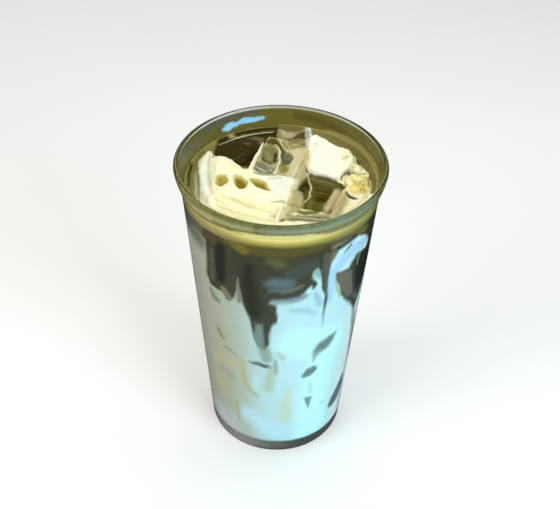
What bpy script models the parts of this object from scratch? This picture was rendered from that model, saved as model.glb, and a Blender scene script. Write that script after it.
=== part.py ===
"""Iced matcha latte in a flared glass tumbler.

Milk lies at the bottom, matcha hangs over it in uneven fingers, and a crust of froth closes the top.
Five ice cubes float in the froth. Every layer and every cube is a closed solid of its own.
Units are metres, +Z is up, and the origin is the centre of the glass's foot on the table.
Angles around the glass are counted from the front (-Y), positive towards +X.
"""

from math import cos, exp, pi, radians, sin

import bmesh
import bpy
import numpy as np
from mathutils import Euler, Vector

MM = 0.001

# Glass: the flank is a straight cone that would have the radius CONE_RADIUS at the table
GLASS_HEIGHT = 0.144
CONE_RADIUS = 0.02993
CONE_SLOPE = 0.0831
FLARE_HEIGHT = 0.013
FLARE_WIDTH = 0.0021
HEEL_WIDTH = 0.0031
HEEL_HEIGHT = 0.0047
FOOT_INNER_RADIUS = 0.0205
PUNT_RISE = 0.0016
WALL_AT_FLOOR = 0.0026
WALL_AT_RIM = 0.0021
FLOOR_HEIGHT = 0.0055
FLOOR_CORNER = 0.0035
SEGMENTS = 64
PUNT_STEPS = 3
CORNER_STEPS = 4
FLARE_STEPS = 6
LIP_STEPS = 6

# Contents: CLEARANCE is kept to the glass, ICE_CLEARANCE to the ice, LAYER_GAP between layers
CLEARANCE = 0.0003
ICE_CLEARANCE = 0.0005
LAYER_GAP = 0.0005
FROTH_BOTTOM = 0.1296
FROTH_TOP = 0.1349
INTERFACE_MEAN = 0.0975
INTERFACE_SWELL = 0.0018
INTERFACE_RINGS = (1.0, 0.985, 0.96, 0.92, 0.86, 0.76, 0.55)
FINGER_REACH = 0.42
FROTH_RINGS = (1.0, 0.985, 0.955, 0.91, 0.84, 0.76, 0.66, 0.55, 0.42, 0.28, 0.14)
FROTH_RELIEF = 0.0004
MENISCUS = 0.0011

# Fingers of the border between milk and matcha along the wall: angle in degrees, half width in
# degrees, and how far the border goes up (+, milk rises) or down (-, matcha sinks) in mm.
FINGERS = (
    ("pale milk up the left side", -70, 19, 28.0),
    ("short brown finger", -41, 8, -3.0),
    ("thin milk spike", -25.5, 3.4, 17.0),
    ("long dark finger", -8.5, 9, -31.0),
    ("milk shoulder", 15, 7, 9.0),
    ("milk fingertip", 23.5, 3.8, 14.0),
    ("dark hook", 30, 3.2, -7.0),
    ("milk column", 38, 6.5, 19.0),
    ("milk arm", 50, 7, 12.0),
    ("dark right side", 66, 9, -9.0),
    ("milk rise behind right", 96, 12, 12.0),
    ("dark finger behind right", 121, 10, -22.0),
    ("milk spike behind", 141, 5, 14.0),
    ("broad dark finger behind", 166, 12, -17.0),
    ("milk rise behind left", -164, 8, 15.0),
    ("dark finger behind left", -141, 9, -25.0),
    ("milk rise left", -113, 9, 12.0),
    ("short dark finger left", -96, 6, -9.0),
)

# Ice: top centre in mm, size in mm, yaw, rise of the back edge and drop of the right edge in degrees.
ICE = {
    "ice_cube_centre": ((-0.3, 13.5, 136.8), (20.0, 22.0, 20.0), (-18, 9, 2)),
    "ice_cube_front_right": ((14.3, -10.8, 137.4), (19.0, 20.5, 21.0), (-18, 2, 1)),
    "ice_cube_back_right": ((21.2, 11.3, 137.2), (16.5, 17.0, 19.0), (-24, 5, 0)),
    "ice_cube_front_left": ((-10.6, -7.3, 136.8), (28.0, 19.5, 21.0), (-14, 1, 1)),
    "ice_cube_back_left": ((-19.6, 18.7, 135.2), (14.5, 17.5, 18.0), (-30, 1, 0)),
}
ICE_BEVEL = 0.0026
ICE_TAPER = 0.90
ICE_UNEVENNESS = 0.0006
ICE_BEVEL_STEPS = 3
CUTTER_HEADROOM = 0.006

# Dimples that the ice machine leaves: cube, place on the top face as shares of its half size,
# half size of the hollow in mm.
DIMPLES = (
    ("ice_cube_centre", (-0.10, 0.05), (6.0, 7.0, 5.0)),
    ("ice_cube_front_right", (-0.55, 0.35), (4.0, 5.5, 4.5)),
)

# Banks and lumps of froth: place from the glass's axis, half widths and height, all in mm.
FROTH_MOUNDS = (
    ("bank against the front left cube", (-29.5, -1.0), (4.5, 13.0), 1.5),
    ("bank in front", (-6.0, -27.5), (17.0, 5.0), 0.9),
    ("bubbles at the right wall", (31.5, 2.0), (4.5, 5.0), 2.0),
    ("lump behind the bubbles", (29.0, 8.5), (3.5, 3.0), 1.2),
)

# Colour, roughness and alpha
FINISHES = {
    "glass": ((0.62, 0.72, 0.69), 0.04, 0.35),
    "milk": ((0.70, 0.85, 0.86), 0.30, 1.0),
    "matcha": ((0.075, 0.085, 0.050), 0.25, 1.0),
    "froth": ((0.93, 0.91, 0.70), 0.55, 1.0),
    "ice": ((0.80, 0.82, 0.74), 0.08, 0.6),
}


def remove_all_objects():
    for obj in list(bpy.data.objects):
        bpy.data.objects.remove(obj, do_unlink=True)


def finish_material(name):
    """A Principled material from FINISHES, made once and shared."""
    material = bpy.data.materials.get(name)
    if material is None:
        colour, roughness, alpha = FINISHES[name]
        material = bpy.data.materials.new(name)
        material.use_nodes = True
        shader = material.node_tree.nodes["Principled BSDF"]
        shader.inputs["Base Color"].default_value = (*colour, 1.0)
        shader.inputs["Roughness"].default_value = roughness
        shader.inputs["Metallic"].default_value = 0.0
        shader.inputs["Alpha"].default_value = alpha
    return material


def add_object(name, bm, finish, smooth_below=35.0):
    """Turn a bmesh into a named object with its material, shaded smooth below the given angle."""
    bmesh.ops.recalc_face_normals(bm, faces=bm.faces)
    mesh = bpy.data.meshes.new(name)
    bm.to_mesh(mesh)
    bm.free()
    mesh.shade_smooth()
    mesh.set_sharp_from_angle(angle=radians(smooth_below))
    mesh.materials.append(finish_material(finish))
    obj = bpy.data.objects.new(name, mesh)
    bpy.context.scene.collection.objects.link(obj)
    return obj


def smoothstep(t):
    t = min(1.0, max(0.0, t))
    return t * t * (3.0 - 2.0 * t)


# Glass outline

def outer_radius(z):
    """The straight flank of the tumbler, with the small flare under the rim."""
    flare = smoothstep((z - GLASS_HEIGHT + FLARE_HEIGHT) / FLARE_HEIGHT)
    return CONE_RADIUS + CONE_SLOPE * z + FLARE_WIDTH * flare


def wall(z):
    return WALL_AT_FLOOR + (WALL_AT_RIM - WALL_AT_FLOOR) * z / GLASS_HEIGHT


def inner_radius(z):
    return outer_radius(z) - wall(z)


def floor_profile(gap):
    """The inside of the bottom from its centre to the foot of the wall, moved inwards by gap."""
    corner_top = FLOOR_HEIGHT + FLOOR_CORNER
    corner_x = inner_radius(corner_top) - FLOOR_CORNER
    radius = FLOOR_CORNER - gap
    points = [(0.0, FLOOR_HEIGHT + gap)]
    for step in range(CORNER_STEPS + 1):
        angle = pi / 2 * step / CORNER_STEPS
        points.append((corner_x + radius * sin(angle), corner_top - radius * cos(angle)))
    return points


def flare_heights():
    """From the top of the straight flank to the middle of the round lip."""
    start = GLASS_HEIGHT - FLARE_HEIGHT
    top = GLASS_HEIGHT - wall(GLASS_HEIGHT) / 2
    return [start + (top - start) * step / FLARE_STEPS for step in range(FLARE_STEPS + 1)]


def glass_profile():
    """Closed half section of the glass, from the underside up the outside and down the inside."""
    points = [(0.0, PUNT_RISE)]
    for step in range(1, PUNT_STEPS + 1):
        share = step / PUNT_STEPS
        points.append((FOOT_INNER_RADIUS * share, PUNT_RISE * (1.0 - share * share)))
    heel_x = outer_radius(HEEL_HEIGHT) - HEEL_WIDTH
    for step in range(CORNER_STEPS + 1):
        angle = pi / 2 * step / CORNER_STEPS
        points.append((heel_x + HEEL_WIDTH * sin(angle), HEEL_HEIGHT * (1.0 - cos(angle))))
    heights = flare_heights()
    points += [(outer_radius(z), z) for z in heights]
    lip = wall(heights[-1]) / 2
    lip_centre = outer_radius(heights[-1]) - lip
    for step in range(1, LIP_STEPS):
        angle = pi * step / LIP_STEPS
        points.append((lip_centre + lip * cos(angle), heights[-1] + lip * sin(angle)))
    points += [(inner_radius(z), z) for z in reversed(heights)]
    points += list(reversed(floor_profile(0.0)))
    return points


def make_glass():
    bm = bmesh.new()
    vertices = [bm.verts.new((radius, 0.0, z)) for radius, z in glass_profile()]
    edges = [bm.edges.new(pair) for pair in zip(vertices, vertices[1:])]
    bmesh.ops.spin(bm, geom=vertices + edges, cent=(0, 0, 0), axis=(0, 0, 1),
                   angle=2 * pi, steps=SEGMENTS, use_merge=True)
    bmesh.ops.remove_doubles(bm, verts=bm.verts, dist=1e-6)
    return add_object("glass", bm, "glass")


# Contents

def fill_radius(z):
    return inner_radius(z) - CLEARANCE


def ring_solid(name, rings, finish):
    """A closed solid through a list of rings; the first and the last one are single points.

    Each ring is a function of the angle from the front that gives (radius, z). Quads split from the
    outer ring's earlier point to the inner ring's later one, so two layers nest on their border.
    """
    bm = bmesh.new()
    angles = [2 * pi * step / SEGMENTS for step in range(SEGMENTS)]
    loops = []
    for ring in rings[1:-1]:
        loop = []
        for angle in angles:
            radius, z = ring(angle)
            loop.append(bm.verts.new((radius * sin(angle), -radius * cos(angle), z)))
        loops.append(loop)
    poles = [bm.verts.new((0.0, 0.0, ring(0.0)[1])) for ring in (rings[0], rings[-1])]
    for step in range(SEGMENTS):
        after = (step + 1) % SEGMENTS
        bm.faces.new((poles[0], loops[0][step], loops[0][after]))
        bm.faces.new((poles[1], loops[-1][step], loops[-1][after]))
        for low, high in zip(loops, loops[1:]):
            quad = (low[step], low[after], high[after], high[step])
            start = 0 if low[0].co.xy.length > high[0].co.xy.length else 1
            bm.faces.new((quad[start], quad[start + 1], quad[start + 2]))
            bm.faces.new((quad[start], quad[start + 2], quad[(start + 3) % 4]))
    return add_object(name, bm, finish, smooth_below=50.0)


def angle_between(angle, degrees):
    """Signed distance in degrees from one direction around the glass to another."""
    return (angle * 180.0 / pi - degrees + 180.0) % 360.0 - 180.0


def interface_height(angle, share):
    """Height of the border between milk and matcha at an angle and a share of the radius."""
    swell = sin(3 * angle + 0.6) + 0.6 * cos(5 * angle)
    height = INTERFACE_MEAN + INTERFACE_SWELL * swell * share
    near_wall = smoothstep((share - 1.0 + FINGER_REACH) / FINGER_REACH)
    for _, centre, half_width, reach in FINGERS:
        height += reach * MM * near_wall * exp(-((angle_between(angle, centre) / half_width) ** 2))
    return height


def interface_ring(share, offset):
    def ring(angle):
        z = interface_height(angle, share) + offset
        return share * fill_radius(z), z
    return ring


def flat_ring(share, z):
    return lambda angle: (share * fill_radius(z), z)


def froth_height(angle, share):
    """Top of the froth: a low swell, banks and lumps, and a rim where it clings to the glass."""
    x = share * sin(angle)
    y = -share * cos(angle)
    swell = sin(7 * x + 1.0) * cos(6 * y) + 0.6 * sin(11 * y + 4 * x)
    height = FROTH_RELIEF * swell
    for _, centre, half, rise in FROTH_MOUNDS:
        across = (x * fill_radius(FROTH_TOP) / MM - centre[0]) / half[0]
        along = (y * fill_radius(FROTH_TOP) / MM - centre[1]) / half[1]
        height += rise * MM * exp(-(across * across + along * along))
    cling = smoothstep((share - 0.94) / 0.06)
    return FROTH_TOP + height * (1.0 - cling) + MENISCUS * cling


def froth_ring(share):
    def ring(angle):
        z = froth_height(angle, share)
        return share * fill_radius(z), z
    return ring


def make_milk():
    rings = [lambda angle, point=point: point for point in floor_profile(CLEARANCE)]
    rings += [interface_ring(share, -LAYER_GAP / 2) for share in (*INTERFACE_RINGS, 0.0)]
    return ring_solid("milk", rings, "milk")


def make_matcha():
    rings = [interface_ring(share, LAYER_GAP / 2) for share in (0.0, *reversed(INTERFACE_RINGS))]
    top = FROTH_BOTTOM - LAYER_GAP / 2
    rings += [flat_ring(1.0, top), flat_ring(0.0, top)]
    return ring_solid("matcha", rings, "matcha")


def make_froth():
    bottom = FROTH_BOTTOM + LAYER_GAP / 2
    flare_start = GLASS_HEIGHT - FLARE_HEIGHT
    rings = [flat_ring(0.0, bottom), flat_ring(1.0, bottom), flat_ring(1.0, flare_start)]
    rings += [froth_ring(share) for share in (*FROTH_RINGS, 0.0)]
    return ring_solid("froth", rings, "froth")


# Ice

def ice_mesh(name, size, grow=0.0, headroom=0.0):
    """A worn cube with its top face at z = 0, uneven corners and round edges.

    The cutter for the drink is the same cube, grown by a gap and drawn out upwards by some headroom.
    """
    draw = np.random.default_rng(sum(name.encode()))
    bm = bmesh.new()
    bmesh.ops.create_cube(bm, size=2.0)
    low_corners = {}
    for vertex in sorted(bm.verts, key=lambda vertex: vertex.co.z):
        signs = vertex.co.copy()
        share = 1.0 if signs.z > 0 else ICE_TAPER
        half = (size[0] / 2 * share + grow, size[1] / 2 * share + grow, size[2] / 2 + grow)
        uneven = Vector(draw.uniform(-1.0, 1.0, 3)) * ICE_UNEVENNESS
        vertex.co = Vector([sign * reach for sign, reach in zip(signs, half)]) + uneven
        vertex.co.z -= size[2] / 2
        if signs.z < 0:
            low_corners[signs.x, signs.y] = vertex.co.copy()
        else:
            edge = vertex.co - low_corners[signs.x, signs.y]
            vertex.co += edge * headroom / size[2]
    bmesh.ops.bevel(bm, geom=bm.edges[:], offset=ICE_BEVEL, segments=ICE_BEVEL_STEPS, profile=0.5, affect="EDGES")
    return bm


def place_ice(obj, name):
    centre, _, (yaw, rise, drop) = ICE[name]
    obj.location = Vector(centre) * MM
    obj.rotation_euler = Euler((radians(rise), radians(drop), radians(yaw)), "XYZ")


def hide_cutter(obj):
    obj.hide_render = True
    obj.display_type = "WIRE"


def cut_by(obj, name, cutter):
    modifier = obj.modifiers.new(name, "BOOLEAN")
    modifier.operation = "DIFFERENCE"
    modifier.object = cutter
    modifier.solver = "EXACT"


def make_ice():
    """The cubes with their dimples. Returns the grown cubes that keep the drink clear of them."""
    cutters = []
    for name, (_, size, _) in ICE.items():
        size = [edge * MM for edge in size]
        cube = add_object(name, ice_mesh(name, size), "ice", smooth_below=50.0)
        place_ice(cube, name)
        grown = ice_mesh(name, size, grow=ICE_CLEARANCE, headroom=CUTTER_HEADROOM)
        cutter = add_object(name + "_clearance", grown, "ice")
        place_ice(cutter, name)
        hide_cutter(cutter)
        cutters.append(cutter)
    for name, place, half_size in DIMPLES:
        add_dimple(name, place, half_size)
    return cutters


def add_dimple(name, place, half_size):
    size = ICE[name][1]
    bm = bmesh.new()
    bmesh.ops.create_icosphere(bm, subdivisions=2, radius=1.0)
    for vertex in bm.verts:
        vertex.co = Vector([value * reach * MM for value, reach in zip(vertex.co, half_size)])
        vertex.co += Vector([place[0] * size[0] / 2 * MM, place[1] * size[1] / 2 * MM, 0.0])
    cutter = add_object(name + "_dimple_cutter", bm, "ice")
    place_ice(cutter, name)
    hide_cutter(cutter)
    cut_by(bpy.data.objects[name], "dimple", cutter)


def main():
    remove_all_objects()
    make_glass()
    milk = make_milk()
    matcha = make_matcha()
    froth = make_froth()
    cutters = make_ice()
    for layer in (milk, matcha, froth):
        for cutter in cutters:
            cut_by(layer, cutter.name, cutter)


main()
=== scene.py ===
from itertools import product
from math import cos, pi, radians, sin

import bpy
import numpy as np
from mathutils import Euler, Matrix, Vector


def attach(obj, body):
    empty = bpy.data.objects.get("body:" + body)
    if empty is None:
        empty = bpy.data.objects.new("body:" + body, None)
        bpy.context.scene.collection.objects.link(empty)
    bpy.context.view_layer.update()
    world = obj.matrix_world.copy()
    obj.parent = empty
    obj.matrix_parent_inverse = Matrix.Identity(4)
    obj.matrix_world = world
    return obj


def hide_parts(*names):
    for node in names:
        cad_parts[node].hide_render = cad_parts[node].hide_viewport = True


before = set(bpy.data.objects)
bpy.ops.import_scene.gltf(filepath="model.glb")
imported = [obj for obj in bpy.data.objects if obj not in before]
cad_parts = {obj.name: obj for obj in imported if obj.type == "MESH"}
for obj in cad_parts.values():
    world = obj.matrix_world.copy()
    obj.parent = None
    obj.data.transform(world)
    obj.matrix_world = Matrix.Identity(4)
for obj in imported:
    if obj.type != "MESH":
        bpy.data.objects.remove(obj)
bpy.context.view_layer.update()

# Looks of the iced matcha latte.
# Every CAD node is replaced by a finer piece of the same form: the glass, milk, matcha, froth and
# five ice cubes. A film of matcha on the glass and bubbles on the froth are added.
# Units are metres. Places on the wall are given as (degrees from the front, height in mm), with
# positive angles towards +X; places on the drink's surface as (x, y) in mm.

MM = 0.001

# Glass, as in the part's source
GLASS_HEIGHT = 0.144
CONE_RADIUS = 0.02993
CONE_SLOPE = 0.0831
FLARE_HEIGHT = 0.013
FLARE_WIDTH = 0.0021
HEEL_WIDTH = 0.0031
HEEL_HEIGHT = 0.0047
FOOT_INNER_RADIUS = 0.0205
PUNT_RISE = 0.0016
WALL_AT_FLOOR = 0.0026
WALL_AT_RIM = 0.0021
FLOOR_HEIGHT = 0.0055
FLOOR_CORNER = 0.0035
GLASS_SEGMENTS = 288
# Tint of the rim by angle: teal glass in front, with painted shade, dark olive at the back and the right, and painted
# light, lightest at the front left
RIM_TINTS_WITH_LIGHT = {
    -180: (0.38, 0.38, 0.24), -160: (0.50, 0.54, 0.50), -125: (0.50, 0.54, 0.50), -95: (0.66, 0.70, 0.62),
    -72: (0.95, 0.94, 0.80), -45: (0.68, 0.72, 0.56), -20: (0.72, 0.80, 0.66), 40: (0.62, 0.80, 0.76),
    75: (0.50, 0.60, 0.54), 100: (0.36, 0.42, 0.32), 150: (0.36, 0.38, 0.24), 180: (0.38, 0.38, 0.24),
}
# Tint of the foot by angle: painted shade in the thick base, lightest at the front left
FOOT_SHADE_TINTS = {
    -180: (0.80, 0.80, 0.78), -90: (0.88, 0.87, 0.82), -50: (0.97, 0.95, 0.90), -10: (0.82, 0.81, 0.77),
    45: (0.76, 0.75, 0.71), 180: (0.80, 0.80, 0.78),
}

# Contents: WALL_OVERLAP is how far they reach into the wall, so that no air shows between
WALL_OVERLAP = 0.00012
CONTENT_SEGMENTS = 480
INTERFACE_MEAN = 0.0975
INTERFACE_SWELL = 0.0018
FINGER_REACH = 0.42
INTERFACE_SHARES = (0.985, 0.96, 0.92, 0.86, 0.76, 0.65, 0.55, 0.4, 0.2)
MATCHA_TOP = 0.1295
FROTH_BOTTOM = 0.1297
FROTH_TOP = 0.1349
MENISCUS = 0.0011
WALL_MM_PER_DEGREE = 0.63
# Underside of the milk by angle: white milk, with painted light and shade, lightest at the front left and darker to the
# right
UNDERSIDE_COLOURS_WITH_LIGHT = {
    -180: (206, 209, 204), -48: (255, 255, 255), 0: (206, 209, 204), 45: (156, 160, 156), 180: (206, 209, 204),
}

# Fingers of the border between milk and matcha: angle, half width in degrees, reach in mm
FINGERS = (
    (-70, 19, 28.0), (-41, 8, -3.0), (-25.5, 3.4, 17.0), (-8.5, 9, -31.0), (15, 7, 9.0),
    (23.5, 3.8, 14.0), (30, 3.2, -7.0), (38, 6.5, 19.0), (50, 7, 12.0), (66, 9, -9.0),
    (96, 12, 12.0), (121, 10, -22.0), (141, 5, 14.0), (166, 12, -17.0), (-164, 8, 15.0),
    (-141, 9, -25.0), (-113, 9, 12.0), (-96, 6, -9.0),
)

# Lower outline of the matcha on the front of the wall, from left to right
CURTAIN = (
    (-100, 145), (-86, 119), (-78, 123.5), (-71, 121.5), (-62, 125.5), (-53.7, 125), (-48.3, 123.2), (-49.2, 114.7), (-51.5, 106.4),
    (-51.4, 102.6), (-48.6, 98.6), (-43.5, 98.6), (-39.4, 98.6), (-37, 97.4), (-35.8, 95.1), (-32.2, 95.4),
    (-28.4, 99.9), (-26.9, 104.4), (-25.6, 110.6), (-24.9, 110), (-23.9, 103.5), (-23.3, 96.1), (-19.3, 89.7),
    (-17.5, 81.7), (-16.2, 76), (-13, 71.5), (-9, 70), (-6.4, 73.4), (-5.4, 77.2), (-5, 81.6), (-3.9, 86.5),
    (-0.4, 87.9), (-0.5, 93.4), (-0.9, 98.7), (-4.7, 99.7), (-6.3, 100.1), (-3.8, 101.8), (4.3, 102.2),
    (13.7, 103), (16.8, 104.6), (19.2, 107.1), (20.4, 108), (22.2, 105.9), (23.5, 106.2), (24.6, 108.9),
    (21.3, 112.9), (21.1, 116.3), (23.8, 117.8), (26.1, 115.3), (27.2, 109.9), (28.1, 105.1), (30.7, 99.8),
    (30.6, 95.2), (32.1, 81.5), (32.4, 91.1), (33.3, 97.9), (32.7, 105.6), (31.9, 114.9), (33.9, 119.2),
    (37.2, 123.6), (43.8, 124.5), (53, 125.4), (61, 122.5), (68.5, 116.5), (66.3, 113.2), (55.6, 115.3),
    (49.7, 112.4), (48.5, 110.1), (44, 110.2), (38.1, 111.2), (38.6, 107), (41.5, 102.6), (44, 96.4),
    (47.7, 92.1), (58.5, 84.7), (63.2, 78.4), (70, 82), (80, 98), (100, 145),
)

# Milk at the wall by degrees from the front, with painted light: lighter and bluer towards the right, greyer to the
# left of the front
MILK_COLOURS_WITH_LIGHT = {
    -180: (196, 208, 200), -100: (206, 208, 198), -80: (220, 219, 208), -64: (178, 181, 166), -42: (178, 184, 166),
    -26: (180, 198, 186), -10: (184, 224, 230), 14: (190, 236, 244), 50: (190, 236, 244), 64: (226, 255, 255),
    76: (234, 255, 255), 100: (200, 224, 224), 180: (196, 208, 200),
}

# Streaks on the wall: colour, softness of the edge in mm, and points as (degrees, mm, half width)
MATCHA_STREAKS = (
    ("olive zone under the froth", (92, 84, 32), 4.0, ((-38, 131, 3.0), (0, 129, 4.2), (30, 131, 2.6))),
    ("grey left shoulder", (100, 100, 84), 3.0, ((-78, 127, 6.0), (-57, 128, 5.0))),
    ("brown left top", (84, 74, 46), 2.2, ((-46, 127, 2.4), (-41.5, 125.8, 2.4), (-36.1, 129, 1.8))),
    ("light left column", (86, 86, 72), 1.6, ((-43.7, 119.7, 1.2), (-45, 110, 1.8), (-46.8, 102.9, 1.4))),
    ("black column", (33, 34, 20), 1.8, ((-36.6, 125, 2.2), (-37.7, 115, 2.6), (-38.6, 106, 2.2))),
    ("brown tongue", (130, 124, 104), 1.4, ((-37, 100.5, 1.8), (-33.4, 97.2, 1.8))),
    ("black heart", (36, 37, 22), 6.0, ((-18, 118, 2.4), (-18.4, 108, 3.4), (-16, 92, 3.0))),
    ("teal inside the long finger", (122, 148, 143), 2.4, ((-14.5, 85.9), (-9.8, 86.2), (-9.0, 77.1), (-10.8, 70.3), (-16.9, 76.8))),
    ("dark side of the long finger", (62, 68, 52), 0.9, ((-7.6, 90, 1.0), (-7.8, 80, 0.9), (-7.4, 76, 0.3))),
    ("pale end of the long finger", (120, 146, 136), 4.0, ((-12.4, 74, 1.0), (-9.6, 70.5, 2.2))),
    ("grey green over the arm", (122, 132, 112), 2.0, ((33.5, 126.5, 1.0), (42, 127.6, 1.2))),
    ("olive blotch", (118, 108, 36), 2.6, ((-32, 131.5, 1.6), (-22, 127.5, 2.6))),
    ("green blotch", (92, 96, 58), 3.6, ((-5, 123.2, 1.6), (1.5, 121.4, 2.0))),
    ("blue-grey patch", (88, 114, 120), 3.2, ((-7, 110.8, 1.2), (-2, 111.2, 2.6), (7, 111, 2.4))),
    ("grey band under the patch", (96, 112, 108), 1.6, ((-5, 107, 0.8), (8, 107.4, 1.2))),
    ("dark smile", (50, 58, 48), 0.6, ((-5.2, 104.6, 0.5), (-2, 105.4, 0.8), (2, 105.2, 0.4))),
    ("brown smear", (104, 108, 92), 1.0, ((2, 105.8, 0.6), (8, 106.8, 0.9), (15, 109, 0.8))),
    ("grey right middle", (67, 78, 72), 3.0, ((9, 116, 3.0), (19, 119, 3.5))),
    ("strip between milk fingers", (84, 92, 78), 1.2, ((28.9, 123, 1.6), (30, 115, 1.6), (31.3, 103, 0.8))),
    ("green column", (112, 112, 80), 1.2, ((33.9, 123.5, 1.4), (33.1, 116, 0.8))),
    ("brown grey over the arm", (96, 90, 70), 1.6, ((31, 130, 1.5), (44, 128.6, 2.0))),
    ("olive wedge", (110, 110, 42), 1.4, ((48, 129.6, 1.2), (60, 126.5, 1.8))),
    ("grey brown patch", (112, 110, 98), 1.4, ((38.1, 111.2), (44, 110.2), (51.8, 107.6), (54.6, 100.1), (58.2, 90.1), (49.1, 92.2), (41.5, 102.6))),
    ("black right side", (32, 38, 32), 2.2, ((54.6, 110.4), (60, 113), (70, 113.4), (79, 107), (77, 97), (67, 90.6), (60.4, 92.4), (57, 101.7))),
    ("green sliver", (144, 166, 108), 0.6, ((59.8, 113.9, 0.5), (57.3, 111.2, 0.5), (57.5, 107.9, 0.3))),
    ("grey teal under the black", (96, 112, 106), 1.2, ((60, 89.0, 0.8), (68, 84, 1.2), (75, 79.5, 1.2))),
)
MILK_STREAKS = (
    ("grey under the left shoulder", (104, 104, 90), 9.0, ((-80, 126, 6.0), (-56, 121, 5.0))),
    # Painted light: the milk made brighter on its right side, where the light falls
    ("painted light on the right side", (198, 255, 255), 10.0, ((14, 74, 9.0), (40, 70, 9.0), (34, 45, 9.0), (34, 10, 10.0))),
    ("blue grey low left", (184, 199, 203), 10.0, ((-62, 14, 6.0), (-36, 16, 6.0))),
    ("blue low front", (190, 234, 250), 9.0, ((-22, 24, 5.0), (2, 14, 5.0))),
    ("light lower left", (200, 206, 200), 6.0, ((-64, 16, 3.0), (-34, 7, 3.0))),
    ("light blue milk arm", (168, 216, 245), 1.6, ((34.5, 96, 1.6), (35.8, 113, 2.4), (46, 119, 3.4), (62, 118.5, 3.4))),
    ("milk shoulder", (116, 141, 144), 3.4, ((-3, 101.2, 1.2), (8, 101.2, 1.6), (17, 102.6, 1.5))),
    ("shade beside the thin drip", (152, 200, 216), 2.6, ((24, 103, 1.2), (28, 96, 1.4))),
    ("milk fingertip", (144, 178, 174), 1.2, ((23.6, 115.6, 1.8), (25.8, 112, 1.0))),
    ("smear under the shoulder", (158, 208, 222), 3.0, ((9, 95, 1.2), (18, 94.6, 1.8), (25, 91, 1.0))),
    ("dark dash in the arm", (72, 86, 92), 0.7, ((42.2, 121, 0.4), (46.6, 123.2, 0.7))),
    ("green grey sliver", (122, 138, 128), 1.6, ((-49.3, 95.5, 1.2), (-46.9, 92.4, 1.8), (-42.5, 91.4, 1.2))),
    ("beige side", (150, 150, 122), 2.2, ((-46, 73, 1.6), (-42.5, 70, 1.6))),
    ("light spike", (120, 124, 108), 1.2, ((-25.2, 109, 0.9), (-25.4, 98, 1.4))),
    # Painted shade: a grey strip of milk on the right side, turned away from the light
    ("painted shade strip on the right", (166, 171, 168), 2.4, ((64, 80.5, 1.6), (68, 72, 2.2), (73, 60, 2.6), (78, 46, 2.8))),
    ("right border of the column", (172, 190, 160), 0.8, ((38, 110, 0.5), (40.2, 101, 0.8), (44, 95, 0.6))),
    ("fading end of the long finger", (140, 164, 148), 3.4, ((-10.5, 75.4, 1.8), (-8.6, 69.5, 2.6), (-7.6, 64.6, 2.6))),
    ("slit", (62, 72, 58), 0.8, ((-21.5, 60.7, 0.3), (-13.8, 61.1, 1.2), (-7.8, 60.0, 1.2), (-3.4, 59.5, 0.5))),
    ("grey cap of the slit", (150, 172, 166), 1.2, ((-1.2, 63.5, 1.0), (-0.8, 56, 1.2))),
    ("dash left", (150, 152, 126), 1.0, ((-41, 64.2, 0.6), (-35, 63.4, 0.7), (-29, 61, 0.4))),
    ("yellow beige cloud", (190, 190, 150), 8.0, ((-53, 52, 2.6), (-43, 57, 3.0), (-35, 55, 2.0))),
    ("lower part of the cloud", (186, 186, 150), 7.0, ((-55, 46, 2.0), (-50, 36, 3.0), (-42, 35.6, 2.0))),
    ("lilac centre of the cloud", (172, 170, 162), 3.4, ((-47, 48, 2.4), (-38, 47, 2.6))),
    ("beige arc", (186, 185, 140), 2.4, ((-26.4, 61.1, 0.7), (-25.8, 52.7, 1.3), (-24.3, 45.0, 1.4), (-20.3, 41.2, 1.2), (-14.5, 38.9, 0.7))),
    ("light oval", (188, 228, 224), 1.6, ((-15.4, 52, 1.6), (-15.4, 44.6, 1.8))),
    ("green patch", (176, 203, 174), 4.0, ((-4.4, 57, 1.8), (-4.8, 50.4, 2.6), (-5.6, 45.4, 2.4))),
    ("green wash", (178, 206, 184), 2.2, ((0.5, 68.5, 1.0), (4.5, 66, 1.6))),
    ("yellow green drop", (192, 224, 200), 4.6, ((9.4, 44.2, 1.2), (8.0, 35.2, 2.8), (7.6, 25.6, 4.0))),
    ("leaf", (92, 118, 112), 3.0, ((45.0, 73.4, 0.6), (40, 70.6, 2.8), (35, 68.8, 3.8), (30.4, 66.4, 2.4))),
    ("leaf trail", (150, 184, 180), 1.4, ((30.2, 65.2, 1.2), (27.8, 59.8, 0.6))),
    ("tilted oval", (82, 112, 108), 1.6, ((22.2, 52.4, 1.6), (25.4, 53.8, 2.6), (28.6, 54.8, 2.2))),
    ("faint streak", (180, 230, 225), 2.0, ((26.5, 48, 0.8), (28.2, 39.5, 1.2))),
    ("triangle", (104, 146, 148), 1.2, ((22.8, 37), (30.4, 36), (27.6, 27.6))),
    ("right wedge", (74, 94, 99), 1.4, ((70, 37), (61, 32), (53.5, 26), (50.5, 22), (52.5, 19), (58, 18.5), (66, 21), (73, 27))),
    ("faint spot", (166, 214, 226), 2.0, ((41, 27.7, 0.8), (44, 27.7, 0.8))),
    ("beige low streak", (180, 178, 150), 1.8, ((-33.2, 29.7, 1.0), (-33.6, 18.1, 1.3))),
)

# Dark line all round the bottom of the milk
BOTTOM_LINE = (
    ("dark line at the bottom", (62, 84, 88), 1.2, ((-180, 6.2, 1.0), (180, 6.2, 1.0))),
    ("its lighter part on the left", (146, 160, 160), 3.0, ((-75, 6.2, 1.0), (-34, 6.2, 1.0))),
)

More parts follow.
